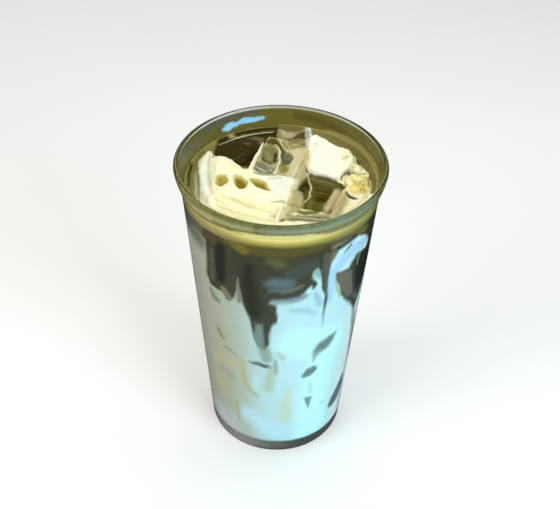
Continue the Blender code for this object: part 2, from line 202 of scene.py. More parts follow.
# Ice, as in the part's source: top centre in mm, size in mm, yaw, rise of the back edge and drop
# of the right edge in degrees
ICE = {
    "ice_cube_centre": ((-0.3, 13.5, 136.8), (20.0, 22.0, 20.0), (-18, 9, 2)),
    "ice_cube_front_right": ((14.3, -10.8, 137.4), (19.0, 20.5, 21.0), (-18, 2, 1)),
    "ice_cube_back_right": ((21.2, 11.3, 137.2), (16.5, 17.0, 19.0), (-24, 5, 0)),
    "ice_cube_front_left": ((-10.6, -7.3, 136.8), (28.0, 19.5, 21.0), (-14, 1, 1)),
    "ice_cube_back_left": ((-19.6, 18.7, 135.2), (14.5, 17.5, 18.0), (-30, 1, 0)),
}
ICE_BEVEL = 0.0018
ICE_TAPER = 0.90
ICE_UNEVENNESS = 0.0006
ICE_GRID = 72
ICE_BASES = {
    "ice_cube_centre": (176, 170, 124),
    "ice_cube_front_right": (92, 86, 36),
    "ice_cube_back_right": (250, 250, 226),
    "ice_cube_front_left": (250, 248, 212),
    "ice_cube_back_left": (66, 57, 22),
}

# Relief of the ice: rise in mm, softness in mm, and a stroke or an outline as for the patches below
ICE_RELIEF = {
    "ice_cube_centre": (
        ("raised back left corner", 1.2, 4.0, ((-11.5, 14.0, 0.8), (-8.5, 22.0, 2.2), (-5.5, 26.0, 3.0), (0.5, 24.5, 2.4))),
        ("hollow", -1.8, 1.8, ((-7.8, 20.6), (-4.1, 21.4), (-1.9, 18.9), (-1.9, 12.0), (-4.0, 10.8), (-7.6, 11.8), (-8.6, 16.4))),
        ("grey basin in front", -0.9, 1.2, ((-11.2, 6.2), (-10.0, 10.4), (-1.8, 10.0), (-2.6, 6.6), (-4.8, 4.6), (-8.2, 4.6))),
        ("right basin", -0.7, 1.2, ((0.0, 17.4), (3.6, 17.0), (4.8, 13.6), (3.6, 10.4), (2.2, 5.6), (-1.0, 5.6), (0.0, 12.0))),
        ("rim of the ring", 0.5, 0.8, ((-2.6, 20.9, 0.2), (-1.0, 19.0, 0.3), (-0.6, 15.0, 0.35), (-0.9, 11.0, 0.35), (-2.0, 6.0, 0.4), (-4.2, 2.6, 0.4), (-7.0, 1.6, 0.3))),
        ("left edge", 0.5, 1.0, ((-12.8, 5.4, 0.4), (-11.0, 12.0, 0.4), (-9.3, 17.0, 0.4), (-8.2, 22.6, 0.4))),
    ),
    "ice_cube_front_right": (
        ("hollow", -2.4, 1.6, ((7.2, -9.6), (8.4, -4.6), (11.0, -4.4), (11.2, -8.6), (10.6, -16.0), (9.6, -17.0), (9.6, -11.4))),
        ("rim of the curve", 0.5, 0.7, ((9.9, 0.6, 0.3), (11.4, -3.6, 0.3), (12.2, -8.5, 0.35), (11.8, -14.0, 0.35), (10.2, -18.0, 0.3))),
        ("dark basin", -0.6, 2.5, ((14.0, -7.0), (20.5, -8.5), (20.4, -14.0), (18.0, -18.0), (14.0, -18.0))),
    ),
    "ice_cube_front_left": (),
    "ice_cube_back_right": (
        ("worn back right corner", -2.2, 3.0, ((30.6, 15.6, 2.0), (32.6, 14.6, 1.2))),
    ),
    "ice_cube_back_left": (
        ("uneven top", -0.5, 3.0, ((-20.0, 16.0, 2.0), (-16.0, 20.0, 1.0))),
    ),
}

# Popped bubbles in the froth over the front left cube: colour and points (x, y, half width)
POPPED_BUBBLES = (
    ("left", (166, 150, 60), ((-24.3, -3.0, 1.7), (-23.8, -5.4, 2.2), (-24.4, -7.6, 1.5))),
    ("middle", (128, 112, 14), ((-17.3, -3.8, 1.8), (-16.0, -6.4, 2.5), (-15.6, -8.8, 1.7))),
    ("right", (140, 121, 34), ((-11.6, -4.6, 1.1), (-9.8, -5.6, 2.0), (-8.3, -7.2, 2.3), (-6.6, -9.4, 1.3), (-4.9, -10.9, 0.6))),
)

# Open places in the froth, where the liquid shows
OPENINGS = (
    ("olive gap on the left", ((-46, 26), (-29.6, 21.6), (-31.6, 18.6), (-33.4, 15.4), (-35.0, 11.6), (-34.9, 7.5),
                               (-33.9, 0.2), (-33.3, -6.8), (-32.6, -13.6), (-32.0, -17.6), (-31, -21), (-46, -26))),
    ("dark back left", ((-46, 23.5), (-30.2, 20.6), (-28.6, 17.6), (-26.9, 14.0), (-24.6, 14.8), (-23.2, 16.2),
                        (-20.2, 13.2), (-18.5, 9.9), (-16.8, 7.4), (-12.0, 7.0), (-8, 8), (0, 14), (2, 24),
                        (-0.5, 28.5), (-2.4, 32.5), (-1.6, 46), (-24, 46))),
    ("crack behind the centre cube", ((2.2, 29.2), (5.2, 32.3), (7.4, 35.2), (9.9, 36.8), (10.0, 31.2), (7.6, 31.4), (5.4, 30.9))),
    ("gap between the right cubes", ((10.2, 4.6), (12.6, 3.5), (16.2, 1.4), (19.8, -0.2), (23.2, -1.8), (26.4, -3.6),
                                     (26.0, -6.4), (22.0, -6.0), (14, -3.0), (10, 0.5))),
    ("spot in front of the bubbles", ((26.6, -8.9), (28.6, -9.4), (31.0, -11.6), (30.6, -12.4), (28.2, -11.8), (26.8, -10.4))),
)

# Froth over a cube: coat in mm, softness of its edge in mm, and outline
FROTH_COATS = {
    "ice_cube_front_left": (0.7, 4.0, (
        (-27.5, 12.0), (-24.0, 12.5), (-20.5, 9.2), (-16.5, 4.6), (-8.0, 1.4), (5.6, -1.4), (5.0, -6.0),
        (2.6, -16.0), (1.0, -21.5), (-12.0, -19.8), (-27.5, -15.5), (-28.5, -6.0), (-28.0, 5.0))),
    "ice_cube_back_right": (0.6, 0.9, (
        (10.8, 7.6), (12.8, 4.6), (16.2, 2.4), (19.6, 0.8), (23.0, -0.8), (25.6, 0.2), (27.8, 4.5),
        (28.8, 8.0), (29.8, 11.6), (26.4, 17.0), (22.4, 21.2), (18.4, 25.2), (14.4, 29.0), (12.6, 27.8),
        (10.6, 23.0), (10.4, 17.3), (11.4, 11.0))),
}
HOLE_DEPTH = 1.5

# Foam that clings to the left side of the centre cube
FOAM_COLLAR = ((-13.4, 4.8, 0.9), (-11.8, 10.2, 0.9), (-10.2, 15.4, 0.8), (-8.9, 20.6, 0.6), (-8.1, 23.6, 0.4))

# Relief of the froth: rise in mm, softness in mm, and a stroke or an outline
FROTH_RELIEF = (
    ("bank on the left", 1.5, 3.0, ((-30.8, 17.6, 0.8), (-32.8, 8.0, 1.6), (-32.2, -2.0, 1.8), (-31.0, -10.0, 1.6), (-28.0, -18.0, 1.2))),
    ("second ridge of the bank", 0.9, 1.3, ((-27.6, 16.0, 0.4), (-28.6, 8.0, 0.6), (-28.4, -2.0, 0.7), (-27.2, -11.0, 0.6))),
    ("third ridge of the bank", 0.6, 1.0, ((-26.2, 11.0, 0.3), (-26.6, 5.0, 0.4), (-26.4, 1.0, 0.2))),
    ("lip over the open liquid", 0.8, 1.3, ((-26.6, 12.0, 0.6), (-23.6, 13.4, 0.7), (-20.8, 11.2, 0.8), (-18.0, 7.2, 0.7), (-15.8, 5.4, 0.4))),
    ("outer fold in front", 1.2, 1.9, ((-28.0, -20.0, 0.4), (-20.0, -25.6, 0.9), (-12.0, -28.9, 1.0), (-2.5, -30.4, 0.6))),
    ("middle fold in front", 1.2, 1.5, ((-24.8, -16.8, 0.4), (-18.0, -21.4, 0.8), (-9.0, -24.6, 0.9), (-2.0, -25.6, 0.4))),
    ("inner fold in front", 0.8, 1.2, ((-19.0, -16.6, 0.3), (-10.0, -19.6, 0.6), (-3.4, -20.4, 0.3))),
    ("ridge in front of the holes", 0.35, 1.6, ((-25.0, -12.0, 0.4), (-14.0, -13.6, 0.6), (-5.0, -13.8, 0.4))),
    ("hump beside the right hole", 0.5, 3.0, ((-1.0, -4.0, 1.5), (0.5, -10.0, 1.5))),
    ("froth against the centre cube", 1.7, 2.4, ((9.0, 4.0, 0.2), (11.2, 12.0, 0.9), (13.0, 20.0, 1.4))),
    ("froth against the right cube", 1.7, 2.4, ((27.2, -6.0, 0.4), (25.0, -14.0, 0.9), (21.8, -24.0, 0.8))),
    ("worn corner of the back right cube", -2.2, 3.0, ((30.6, 15.6, 2.0), (32.6, 14.6, 1.2))),
    ("bank on the right", 1.2, 2.4, ((24.5, -25.0, 0.6), (29.8, -18.5, 1.2), (33.6, -11.5, 1.0))),
    ("ridge in front of the right cube", 0.6, 1.0, ((2.5, -28.6, 0.4), (12.0, -29.2, 0.6), (21.0, -27.8, 0.4))),
    ("left lump of bubbles", 2.7, 1.8, ((27.7, -2.4, 1.3), (28.3, -5.0, 1.3))),
    ("middle lump of bubbles", 2.5, 2.0, ((30.8, -0.6, 1.7), (32.5, -1.6, 1.6))),
    ("front lump of bubbles", 1.8, 1.8, ((30.2, -7.0, 1.5), (32.8, -7.4, 1.3))),
    ("right lump of bubbles", 1.8, 1.2, ((35.2, 0.4, 0.8), (35.4, -3.2, 0.8))),
    ("back lump of bubbles", 1.6, 2.0, ((28.2, 10.2, 1.2), (32.2, 8.4, 1.4))),
    ("crack behind the bubbles", -1.5, 1.0, ((24.6, 0.4, 0.5), (26.6, 3.8, 0.6), (29.4, 6.4, 0.8), (32.4, 5.3, 0.6), (35.4, 5.6, 0.5))),
    ("crack between the lumps", -0.8, 0.8, ((29.5, -3.8, 0.3), (31.8, -4.5, 0.3), (34.4, -5.2, 0.3))),
    ("low margin at the right wall", -0.9, 1.4, ((13.5, 32.6), (18.4, 30.6), (23.9, 24.6), (29.2, 18.6), (33.2, 11.7), (36.9, 5.3), (37.4, -1.3), (36.4, -8.0), (42, -8), (44, 5), (36, 24), (26, 36), (12, 42))),
    ("brown drop", -0.7, 1.0, ((0.2, -27.6, 0.6), (1.4, -26.6, 0.9))),
)

# Patches on the froth and the ice as seen from above: colour, softness in mm, and either a closed
# outline of (x, y) or a stroke of (x, y, half width), all in mm from the glass's axis
TOP_PATCHES = (
    ("white of the left bank", (242, 245, 230), 2.0, ((-29.3, 16.0, 0.8), (-31.7, 8.0, 1.4), (-32.0, -2.0, 1.6), (-30.4, -10.0, 1.4), (-27.5, -17.5, 1.2))),
    # Painted shade in the groove between the bank and its second ridge
    ("painted shade in the groove of the bank", (206, 210, 190), 0.8, ((-30.0, 17.0, 0.3), (-30.4, 9.0, 0.4), (-29.6, -1.0, 0.4), (-28.6, -8.0, 0.3))),
    ("white fold of the bank", (244, 245, 226), 0.8, ((-29.4, 12.0, 0.2), (-29.2, 5.0, 0.5), (-28.4, -2.0, 0.4), (-27.8, -7.0, 0.2))),
    ("yellow between bank and holes", (240, 234, 182), 1.6, ((-27.3, 8.0, 0.4), (-27.4, -3.0, 0.6), (-26.0, -12.0, 0.9), (-22.0, -17.5, 0.8))),
    ("yellow behind the holes", (248, 242, 194), 1.8, ((-24.0, 7.0, 1.0), (-17.0, 2.0, 1.2), (-13.5, -1.5, 0.8))),
    ("shade at the front centre", (212, 205, 156), 3.0, ((-1.6, -21.9), (1.5, -19.8), (3.9, -22.4), (2.4, -27.6), (-1.5, -27.8), (-4.0, -25.6))),
    ("pale patch", (238, 240, 220), 2.4, ((-13.0, 1.4), (-8.0, 0.6), (5.0, 0.2), (4.6, -6.0), (3.0, -10.2), (1.9, -15.6), (-2.6, -14.0), (-4.4, -10.0), (-3.6, -6.0), (-8.0, -2.4))),
    ("grey shade at its back", (156, 152, 110), 1.3, ((-11.0, 0.5, 0.7), (-6.5, 0.0, 1.3), (-2.5, -0.5, 0.6))),
    ("grey shade across it", (216, 216, 188), 1.2, ((-4.6, -3.4, 0.6), (-0.5, -3.0, 0.9))),
    ("grey corner of the pale patch", (190, 186, 148), 1.2, ((1.6, -17.5, 0.8), (-3.0, -18.6, 0.7))),
    ("brown rim behind the middle hole", (222, 208, 156), 1.2, ((-20.0, -3.0, 0.3), (-18.0, -1.0, 0.5), (-15.4, -1.8, 0.3))),
    # Painted shade in the troughs between the folds in front
    ("painted shade between the folds in front", (226, 218, 158), 1.2, ((-25.6, -18.6, 0.4), (-18.0, -23.4, 0.6), (-9.4, -26.8, 0.6), (-1.4, -28.2, 0.5))),
    ("second painted shade between the folds", (222, 215, 158), 1.2, ((-23.0, -14.8, 0.3), (-13.6, -19.9, 0.5), (-3.6, -22.6, 0.5))),
    ("beige side of the centre cube", (198, 189, 146), 2.2, ((1.4, 1.5), (3.2, 8.0), (4.2, 13.0), (3.2, 18.4), (6.5, 19.6), (10.0, 19.0), (13.4, 21.5), (12.6, 9.0), (8.0, -2.0), (2.0, -0.5))),
    ("pink in the beige side", (206, 196, 160), 1.6, ((4.4, 1.6, 0.8), (7.0, 8.0, 1.2), (9.4, 13.6, 0.8))),
    ("olive shade in the beige side", (176, 168, 118), 1.2, ((8.4, 2.4, 0.3), (10.0, 9.0, 0.5), (12.0, 15.0, 0.4))),
    ("grey brown back of the centre cube", (142, 136, 90), 1.8, ((3.4, 21.8, 0.8), (5.0, 19.4, 0.9), (8.5, 20.6, 0.6))),
    ("grey right basin", (104, 102, 74), 1.0, ((-0.4, 17.2), (1.5, 17.8), (3.8, 16.6), (5.0, 13.2), (4.1, 10.6), (0.2, 10.0))),
    ("green right basin", (140, 138, 72), 1.4, ((-0.6, 10.2), (2.4, 10.4), (2.8, 5.2), (-0.4, 4.2))),
    ("light line over the crescent", (196, 188, 142), 0.5, ((-7.6, 25.4, 0.5), (-4.6, 26.4, 0.4), (-1.6, 24.4, 0.35), (0.8, 20.8, 0.35), (2.4, 17.4, 0.35))),
    ("olive crescent", (86, 80, 18), 0.9, ((-6.8, 22.8), (-4.4, 24.8), (-1.9, 23.4), (0.2, 20.4), (1.3, 17.2), (-0.3, 17.6), (-1.9, 20.2), (-4.0, 21.6), (-6.2, 21.4))),
    ("olive beside the crescent", (140, 133, 82), 1.2, ((0.6, 22.2, 0.5), (2.4, 19.2, 0.6))),
    ("hollow of the centre cube", (136, 131, 82), 1.0, ((-7.6, 20.8), (-4.1, 21.4), (-1.9, 18.9), (-1.9, 12.0), (-4.0, 10.8), (-7.6, 11.8), (-8.4, 16.4))),
    ("light in the hollow", (152, 148, 98), 1.6, ((-6.2, 18.4, 0.6), (-4.8, 14.6, 0.9))),
    ("dark left of the hollow", (84, 80, 52), 0.8, ((-8.0, 15.6, 0.3), (-7.2, 13.0, 0.8), (-5.4, 11.4, 0.6))),
    ("dark right of the hollow", (70, 66, 36), 0.9, ((-2.6, 18.0, 0.4), (-2.2, 15.6, 0.8), (-2.8, 12.4, 0.5))),
    ("dark front of the hollow", (92, 88, 64), 0.5, ((-6.6, 11.2, 0.5), (-4.6, 10.4, 0.5), (-2.4, 10.8, 0.4))),
    # Painted reflection: the grey of the basin in front and its bright streaks stand for the surroundings reflected in
    # the centre cube's basin
    ("grey basin in front", (134, 134, 114), 1.0, ((-11.0, 6.6), (-10.4, 11.0), (-8.0, 10.6), (-4.6, 9.0), (-2.8, 8.0), (-3.0, 5.2), (-4.5, 3.2), (-7.2, 2.9), (-9.9, 4.4))),
    ("bright streaks in the basin", (196, 196, 172), 0.5, ((-10.0, 9.0, 0.2), (-7.6, 6.6, 0.4), (-5.6, 6.2, 0.15))),
    ("second streak in the basin", (186, 186, 160), 0.5, ((-6.0, 9.2, 0.15), (-3.8, 7.0, 0.25))),
    ("dark streak in the basin", (108, 108, 88), 0.6, ((-9.6, 6.6, 0.2), (-7.4, 4.6, 0.35), (-4.6, 4.6, 0.2))),
    # Painted highlights along the centre cube's edges: the ring around its hollow, its left edge, which also lies on
    # the clinging foam, and the line along its front
    ("ring", (228, 222, 178), 0.5, ((-3.4, 21.2, 0.1), (-2.4, 20.9, 0.2), (-0.9, 18.7, 0.3), (-0.6, 14.6, 0.35), (-0.9, 10.6, 0.35), (-2.0, 6.0, 0.4), (-3.6, 2.9, 0.45), (-6.6, 1.4, 0.4), (-10.0, 3.0, 0.3))),
    ("foam and painted highlight at the left edge", (246, 242, 208), 0.6, ((-13.6, 4.4, 1.1), (-12.0, 10.2, 1.0), (-10.4, 15.4, 0.9), (-8.8, 21.2, 0.7), (-7.6, 25.6, 0.7), (-6.4, 27.2, 0.6))),
    ("painted highlight in front of the centre cube", (236, 230, 198), 0.5, ((-12.0, 3.6, 0.3), (-7.8, 1.8, 0.35), (-4.0, 1.6, 0.35), (1.0, 1.6, 0.35), (6.0, 1.6, 0.3))),
    ("white of the back right cube", (248, 247, 224), 2.0, ((10.9, 6.6), (12.9, 3.8), (16.3, 1.7), (19.7, 0.2), (23.0, -1.3), (25.7, 0.1), (27.8, 4.5), (29.2, 8.0), (30.9, 12.6), (28.4, 16.4), (25.4, 20.6), (22.0, 23.4), (18.8, 27.2), (14.8, 30.7), (12.8, 28.0), (11.0, 21.0), (10.8, 17.3), (11.8, 11.0))),
    ("warm shade on it", (246, 240, 200), 2.6, ((25.0, 18.0, 0.8), (27.0, 10.0, 1.2), (24.5, 4.0, 0.8))),
    ("olive nick on it", (206, 198, 130), 0.9, ((25.4, 11.6, 0.3), (27.4, 13.0, 0.5))),
    ("cool shade on it", (236, 237, 220), 2.4, ((14.6, 25.0, 0.8), (13.8, 16.0, 1.0), (14.6, 8.0, 0.6))),
    ("yellow left side of it", (226, 216, 166), 1.2, ((10.6, 18.0, 0.8), (11.2, 12.0, 1.0), (11.4, 7.4, 0.8))),
    ("soft grey ridge on it", (236, 235, 212), 1.8, ((16.5, 22.0, 0.3), (18.5, 10.0, 0.5), (18.0, 2.6, 0.3))),
    ("second ridge on it", (238, 236, 210), 1.6, ((21.4, 20.0, 0.2), (22.6, 10.0, 0.4), (21.6, 3.4, 0.2))),
    # The dark line under the back right cube is liquid in the gap and painted shadow of the cube
    ("dark gap and painted shadow under it", (66, 60, 26), 0.5, ((10.4, 6.2, 0.3), (12.7, 3.8, 0.4), (16.2, 1.7, 0.55), (19.7, 0.1, 0.55), (23.4, -1.6, 0.4))),
    ("olive behind the centre cube", (146, 138, 92), 2.2, ((-3.0, 29.0), (-3.0, 46.0), (20.0, 46.0), (15.0, 31.0), (11.0, 26.5), (10.0, 21.0), (2.0, 24.0))),
    ("beige behind the centre cube", (172, 165, 134), 0.9, ((-0.4, 37.0), (2.2, 35.6), (6.3, 34.5), (5.2, 32.6), (2.8, 31.0), (0.3, 32.0))),
    ("light edge of the beige", (196, 190, 154), 0.5, ((-0.8, 37.6, 0.3), (1.2, 36.0, 0.2), (0.2, 33.2, 0.2))),
    ("dark line at the back wall", (112, 104, 52), 0.9, ((-3.0, 38.0), (2.2, 36.7), (6.8, 35.9), (9.4, 37.0), (10.5, 46.0), (-3.0, 46.0))),
    ("olive in front of the crack", (126, 118, 72), 1.2, ((3.1, 28.8), (7.7, 29.9), (7.7, 26.3), (4.4, 25.6), (2.2, 26.6))),
    ("light streak in front of the crack", (164, 155, 104), 0.6, ((2.6, 27.0, 0.3), (4.8, 26.4, 0.4), (7.6, 27.6, 0.3))),
    ("grey spot beside the sparkle", (116, 110, 82), 0.9, ((8.7, 25.2, 0.8), (9.3, 26.4, 0.8))),
    # The sparkle, its white dots and the blue in it are a painted highlight and a painted reflection of bluish light
    ("sparkle", (200, 204, 196), 1.2, ((10.0, 37.0), (10.4, 32.6), (10.2, 28.4), (10.4, 22.6), (11.6, 22.6), (12.8, 29.8), (14.6, 32.8), (14.8, 37.6), (12.3, 39.0))),
    ("dark dots in the sparkle", (122, 120, 96), 0.6, ((10.9, 31.6, 0.3), (11.6, 33.2, 0.3), (11.0, 35.8, 0.4), (13.0, 36.6, 0.3))),
    ("white dots in the sparkle", (244, 245, 238), 0.5, ((12.4, 33.4, 0.35), (13.4, 34.6, 0.35), (12.0, 37.4, 0.3))),
    ("blue in the sparkle", (196, 214, 232), 0.8, ((11.2, 26.0, 0.5), (11.9, 29.4, 0.5))),
    ("left side of the front right cube", (178, 171, 122), 2.0, ((6.2, -1.0), (8.0, 4.0), (11.4, 3.6), (10.4, -2.0), (8.2, -5.4), (6.6, -10.7), (8.4, -13.0), (9.2, -19.4), (7.2, -22.0), (1.8, -25.0), (3.2, -20.0), (4.6, -14.0), (5.4, -7.0))),
    ("light strip beside the front right cube", (204, 198, 150), 1.4, ((5.0, -6.0, 0.4), (4.4, -14.0, 0.8), (2.8, -21.0, 0.6))),
    ("pink grey at its back left", (216, 206, 172), 1.0, ((6.8, -0.6, 0.6), (6.9, -4.6, 0.5), (5.9, -9.6, 0.4))),
    ("back of the front right cube", (112, 106, 54), 1.6, ((11.6, -0.6), (16.8, -2.4), (23.6, -5.6), (25.0, -8.4), (21.4, -8.6), (16.7, -6.4), (12.7, -5.4))),
    ("light streak across its back", (142, 136, 82), 0.7, ((12.0, -2.6, 0.2), (16.8, -4.4, 0.3), (22.0, -6.4, 0.3))),
    ("green brown streaks on its top", (104, 98, 42), 1.4, ((12.6, -7.4, 0.3), (17.0, -8.6, 0.5), (21.0, -9.6, 0.3))),
    ("dark heart", (70, 63, 13), 3.0, ((12.8, -9.6), (16.7, -9.0), (20.6, -10.4), (20.2, -13.9), (18.0, -17.2), (14.2, -18.0), (12.6, -16.3))),
    ("olive in front of the heart", (112, 106, 46), 1.8, ((12.0, -18.6, 0.6), (17.5, -19.4, 0.8))),
    ("green front", (118, 116, 48), 1.8, ((7.2, -20.2), (11.0, -21.0), (15.4, -21.0), (15.8, -23.2), (9.8, -24.0), (6.9, -22.8))),
    ("pink beige right side", (196, 186, 140), 3.4, ((22.0, -9.4), (27.4, -9.0), (27.4, -14.4), (25.3, -19.8), (23.2, -27.2), (17.7, -25.6), (15.9, -23.6), (19.4, -17.4))),
    ("olive grey corner of it", (146, 140, 98), 2.0, ((13.5, -24.4, 0.8), (18.5, -24.6, 1.0))),
    ("grey fold in it", (164, 157, 116), 1.4, ((25.0, -14.0, 0.3), (22.8, -19.4, 0.5), (19.6, -22.6, 0.4))),
    ("light edge of it", (206, 198, 158), 0.9, ((22.0, -10.4, 0.3), (20.2, -15.2, 0.35), (18.8, -18.6, 0.3))),
    ("beige stripes in front", (138, 134, 92), 2.2, ((2.4, -23.6), (9.0, -24.2), (16.0, -24.8), (22.4, -27.0), (20.0, -28.6), (11.0, -28.4), (2.6, -27.8))),
    ("light stripe", (196, 190, 150), 0.5, ((3.0, -25.2, 0.3), (10.0, -25.6, 0.35), (19.0, -26.6, 0.3))),
    ("dark stripe", (118, 112, 76), 0.5, ((6.6, -24.4, 0.25), (13.0, -25.0, 0.35), (19.6, -25.8, 0.3))),
    ("second dark stripe", (138, 130, 92), 0.5, ((4.0, -26.9, 0.25), (12.0, -27.3, 0.35), (20.0, -27.6, 0.25))),
    ("dark spot", (54, 46, 10), 0.6, ((7.0, -10.2), (8.0, -6.4), (9.0, -4.4), (11.2, -4.4), (11.0, -7.6), (9.8, -8.0), (8.6, -10.2))),
    ("light pocket", (176, 170, 120), 3.0, ((7.4, -12.4, 0.8), (8.4, -15.2, 0.9), (7.2, -17.6, 0.6))),
    ("dark crescent beside the pocket", (84, 77, 28), 0.5, ((10.7, -10.0, 0.5), (10.8, -13.0, 0.6), (10.2, -16.4, 0.4))),
    # Painted highlight along the curved rim of the front right cube's hollow
    ("painted highlight curve", (206, 199, 156), 0.55, ((9.6, 1.8, 0.3), (10.8, -1.2, 0.3), (11.8, -5.0, 0.3), (12.1, -10.3, 0.35), (11.4, -15.6, 0.35), (9.8, -18.6, 0.25))),
    ("grey knob", (176, 168, 124), 0.8, ((9.0, 4.6, 0.7), (9.8, 5.2, 0.7))),
    ("brown drop", (128, 118, 68), 0.8, ((0.2, -27.6, 0.6), (1.4, -26.6, 0.9))),
    ("light line beside the drop", (250, 248, 224), 0.5, ((1.2, -18.6, 0.3), (-0.8, -24.0, 0.35), (-1.4, -29.0, 0.3))),
    ("yellow of the bubbles", (244, 226, 142), 1.6, ((25.8, -1.0), (27.2, 2.2), (30.0, 4.6), (33.5, 4.2), (36.0, 2.5), (36.4, -3.2), (34.4, -8.2), (30.0, -9.4), (27.0, -7.0))),
    ("white left lump", (253, 253, 204), 1.2, ((27.4, -1.8, 1.0), (28.1, -5.0, 1.1))),
    # Painted light on the lumps of bubbles: a highlight on the top of the middle lump, and olive yellow shade in front
    # of the lumps and in the crack between them
    ("painted highlight on the middle lump", (254, 242, 168), 1.2, ((30.4, 0.4, 0.6), (32.0, -1.8, 0.7))),
    ("painted olive shade in front of the lumps", (186, 164, 52), 1.6, ((31.4, -5.2, 0.5), (33.6, -6.6, 0.9), (32.4, -8.2, 0.5))),
    ("olive yellow on the right", (192, 178, 94), 1.2, ((35.6, 1.4, 0.9), (35.8, -3.2, 0.9))),
    ("crack behind the bubbles", (112, 100, 32), 0.9, ((24.6, 0.2, 0.4), (26.6, 3.6, 0.6), (29.4, 6.2, 0.8), (32.4, 5.2, 0.6), (35.4, 5.6, 0.4))),
    ("crack between the lumps", (196, 174, 82), 0.7, ((29.5, -3.8, 0.2), (31.8, -4.5, 0.3), (34.4, -5.2, 0.2))),
    ("yellow behind the bubbles", (232, 220, 142), 1.6, ((27.6, 12.0, 0.8), (31.0, 10.6, 1.0), (33.2, 8.2, 1.0))),
    ("curl behind them", (190, 180, 112), 0.8, ((27.6, 10.2, 0.4), (29.6, 11.6, 0.4), (31.0, 13.4, 0.3))),
    ("dark curl at the wall", (112, 102, 38), 0.8, ((31.8, 13.2, 0.3), (34.0, 11.8, 0.6), (35.8, 9.4, 0.6), (36.8, 5.6, 0.5), (36.7, 0.6, 0.3))),
    ("brown between cube and bubbles", (118, 98, 16), 0.9, ((23.6, -4.6, 0.8), (25.8, -5.0, 1.0))),
    ("dark spot in front of the bubbles", (60, 52, 14), 0.6, ((26.8, -9.4, 0.5), (28.4, -10.8, 0.9), (30.6, -12.0, 0.3))),
    ("yellow edge in front of the bubbles", (232, 222, 152), 1.2, ((31.6, -12.6, 0.6), (34.4, -10.8, 0.8), (35.4, -6.4, 0.5))),
    ("olive margin at the right wall", (132, 124, 68), 1.0, ((13.5, 32.6), (18.4, 30.4), (23.9, 24.4), (29.2, 18.4), (33.2, 11.5), (36.9, 5.3), (37.4, -1.3), (36.6, -9.0), (42, -9), (44, 5), (36, 24), (26, 36), (12, 42))),
)

# Band of froth behind the glass in front: colours by height in mm
FROTH_BAND = {
    129.7: (88, 84, 38), 131.0: (112, 108, 42), 131.9: (164, 158, 72), 133.0: (182, 174, 82),
    134.0: (222, 208, 116), 135.0: (238, 226, 142),
}
# Rim of the popped bubbles: a colour between froth and liquid, with a painted highlight on the holes' walls
HOLE_RIM_AND_HIGHLIGHT_COLOUR = (204, 190, 112)
FOAM_COLOUR = (252, 249, 210)
LIQUID_COLOUR = (54, 44, 9)

# Patches on the open liquid, in the same form
LIQUID_PATCHES = (
    ("olive left of the froth", (134, 129, 72), 1.6, ((-46, 24), (-46, 40), (-27.6, 28.6), (-28.6, 20.4), (-31.9, 15.6), (-33.9, 10.3), (-34.3, 3.1), (-33.7, -5.4), (-32.2, -11.5), (-30.6, -16), (-46, -24))),
    ("brown in the crack behind", (86, 76, 50), 1.2, ((4.0, 30.4, 1.4), (8.8, 33.6, 2.2))),
    ("light strip beside the bank", (192, 193, 150), 1.4, ((-34.6, 8, 0.4), (-34.8, 0, 0.7), (-34.2, -8, 0.8), (-33.2, -14, 0.8))),
    ("dark streak at the left wall", (62, 58, 16), 1.2, ((-37.6, 10, 0.6), (-38.2, 3, 0.7), (-37.6, -5, 0.4))),
    ("light olive lump", (158, 152, 100), 1.4, ((-24.4, 33.0, 0.7), (-20.4, 32.0, 0.9), (-16.2, 32.6, 0.9))),
    ("olive below the lump", (102, 92, 46), 1.2, ((-17.6, 26.4, 0.9), (-14.8, 27.0, 0.9))),
    ("brown behind", (100, 90, 54), 1.6, ((-14.4, 32.6, 0.9), (-9.0, 31.0, 1.2), (-9.0, 27.4, 0.8))),
    ("reddish brown in front", (72, 48, 10), 1.4, ((-18.4, 17.6, 0.5), (-17.0, 13.4, 0.7), (-15.4, 11.4, 0.6))),
    ("dark line at the back", (32, 26, 6), 0.8, ((-25.0, 25.4, 0.3), (-21.2, 28.9, 0.4), (-17.4, 31.4, 0.5), (-12.7, 33.5, 0.6), (-8.0, 35.0, 0.7), (-3.6, 35.6, 0.7))),
    ("pale back line", (224, 226, 212), 0.35, ((-26.4, 26.0, 0.1), (-21.9, 29.9, 0.15), (-18.0, 32.5, 0.2), (-13.2, 34.7, 0.22), (-8.3, 36.2, 0.2), (-4.0, 36.9, 0.15))),
    ("olive behind the pale line", (104, 99, 44), 0.3, ((-28.4, 25.0, 0.3), (-22.6, 30.4, 0.3), (-18.6, 33.2, 0.3), (-13.6, 35.6, 0.3), (-8.6, 37.1, 0.3), (-3.0, 37.8, 0.3))),
    ("olive shallow at the froth", (128, 116, 52), 1.1, ((-22.6, 17.2, 0.3), (-19.0, 13.0, 0.6), (-16.6, 9.4, 0.9), (-13.4, 9.0, 0.7))),
    ("grey spot at the froth", (88, 80, 44), 0.7, ((-26.0, 16.4, 0.7), (-24.4, 16.6, 0.6))),
)

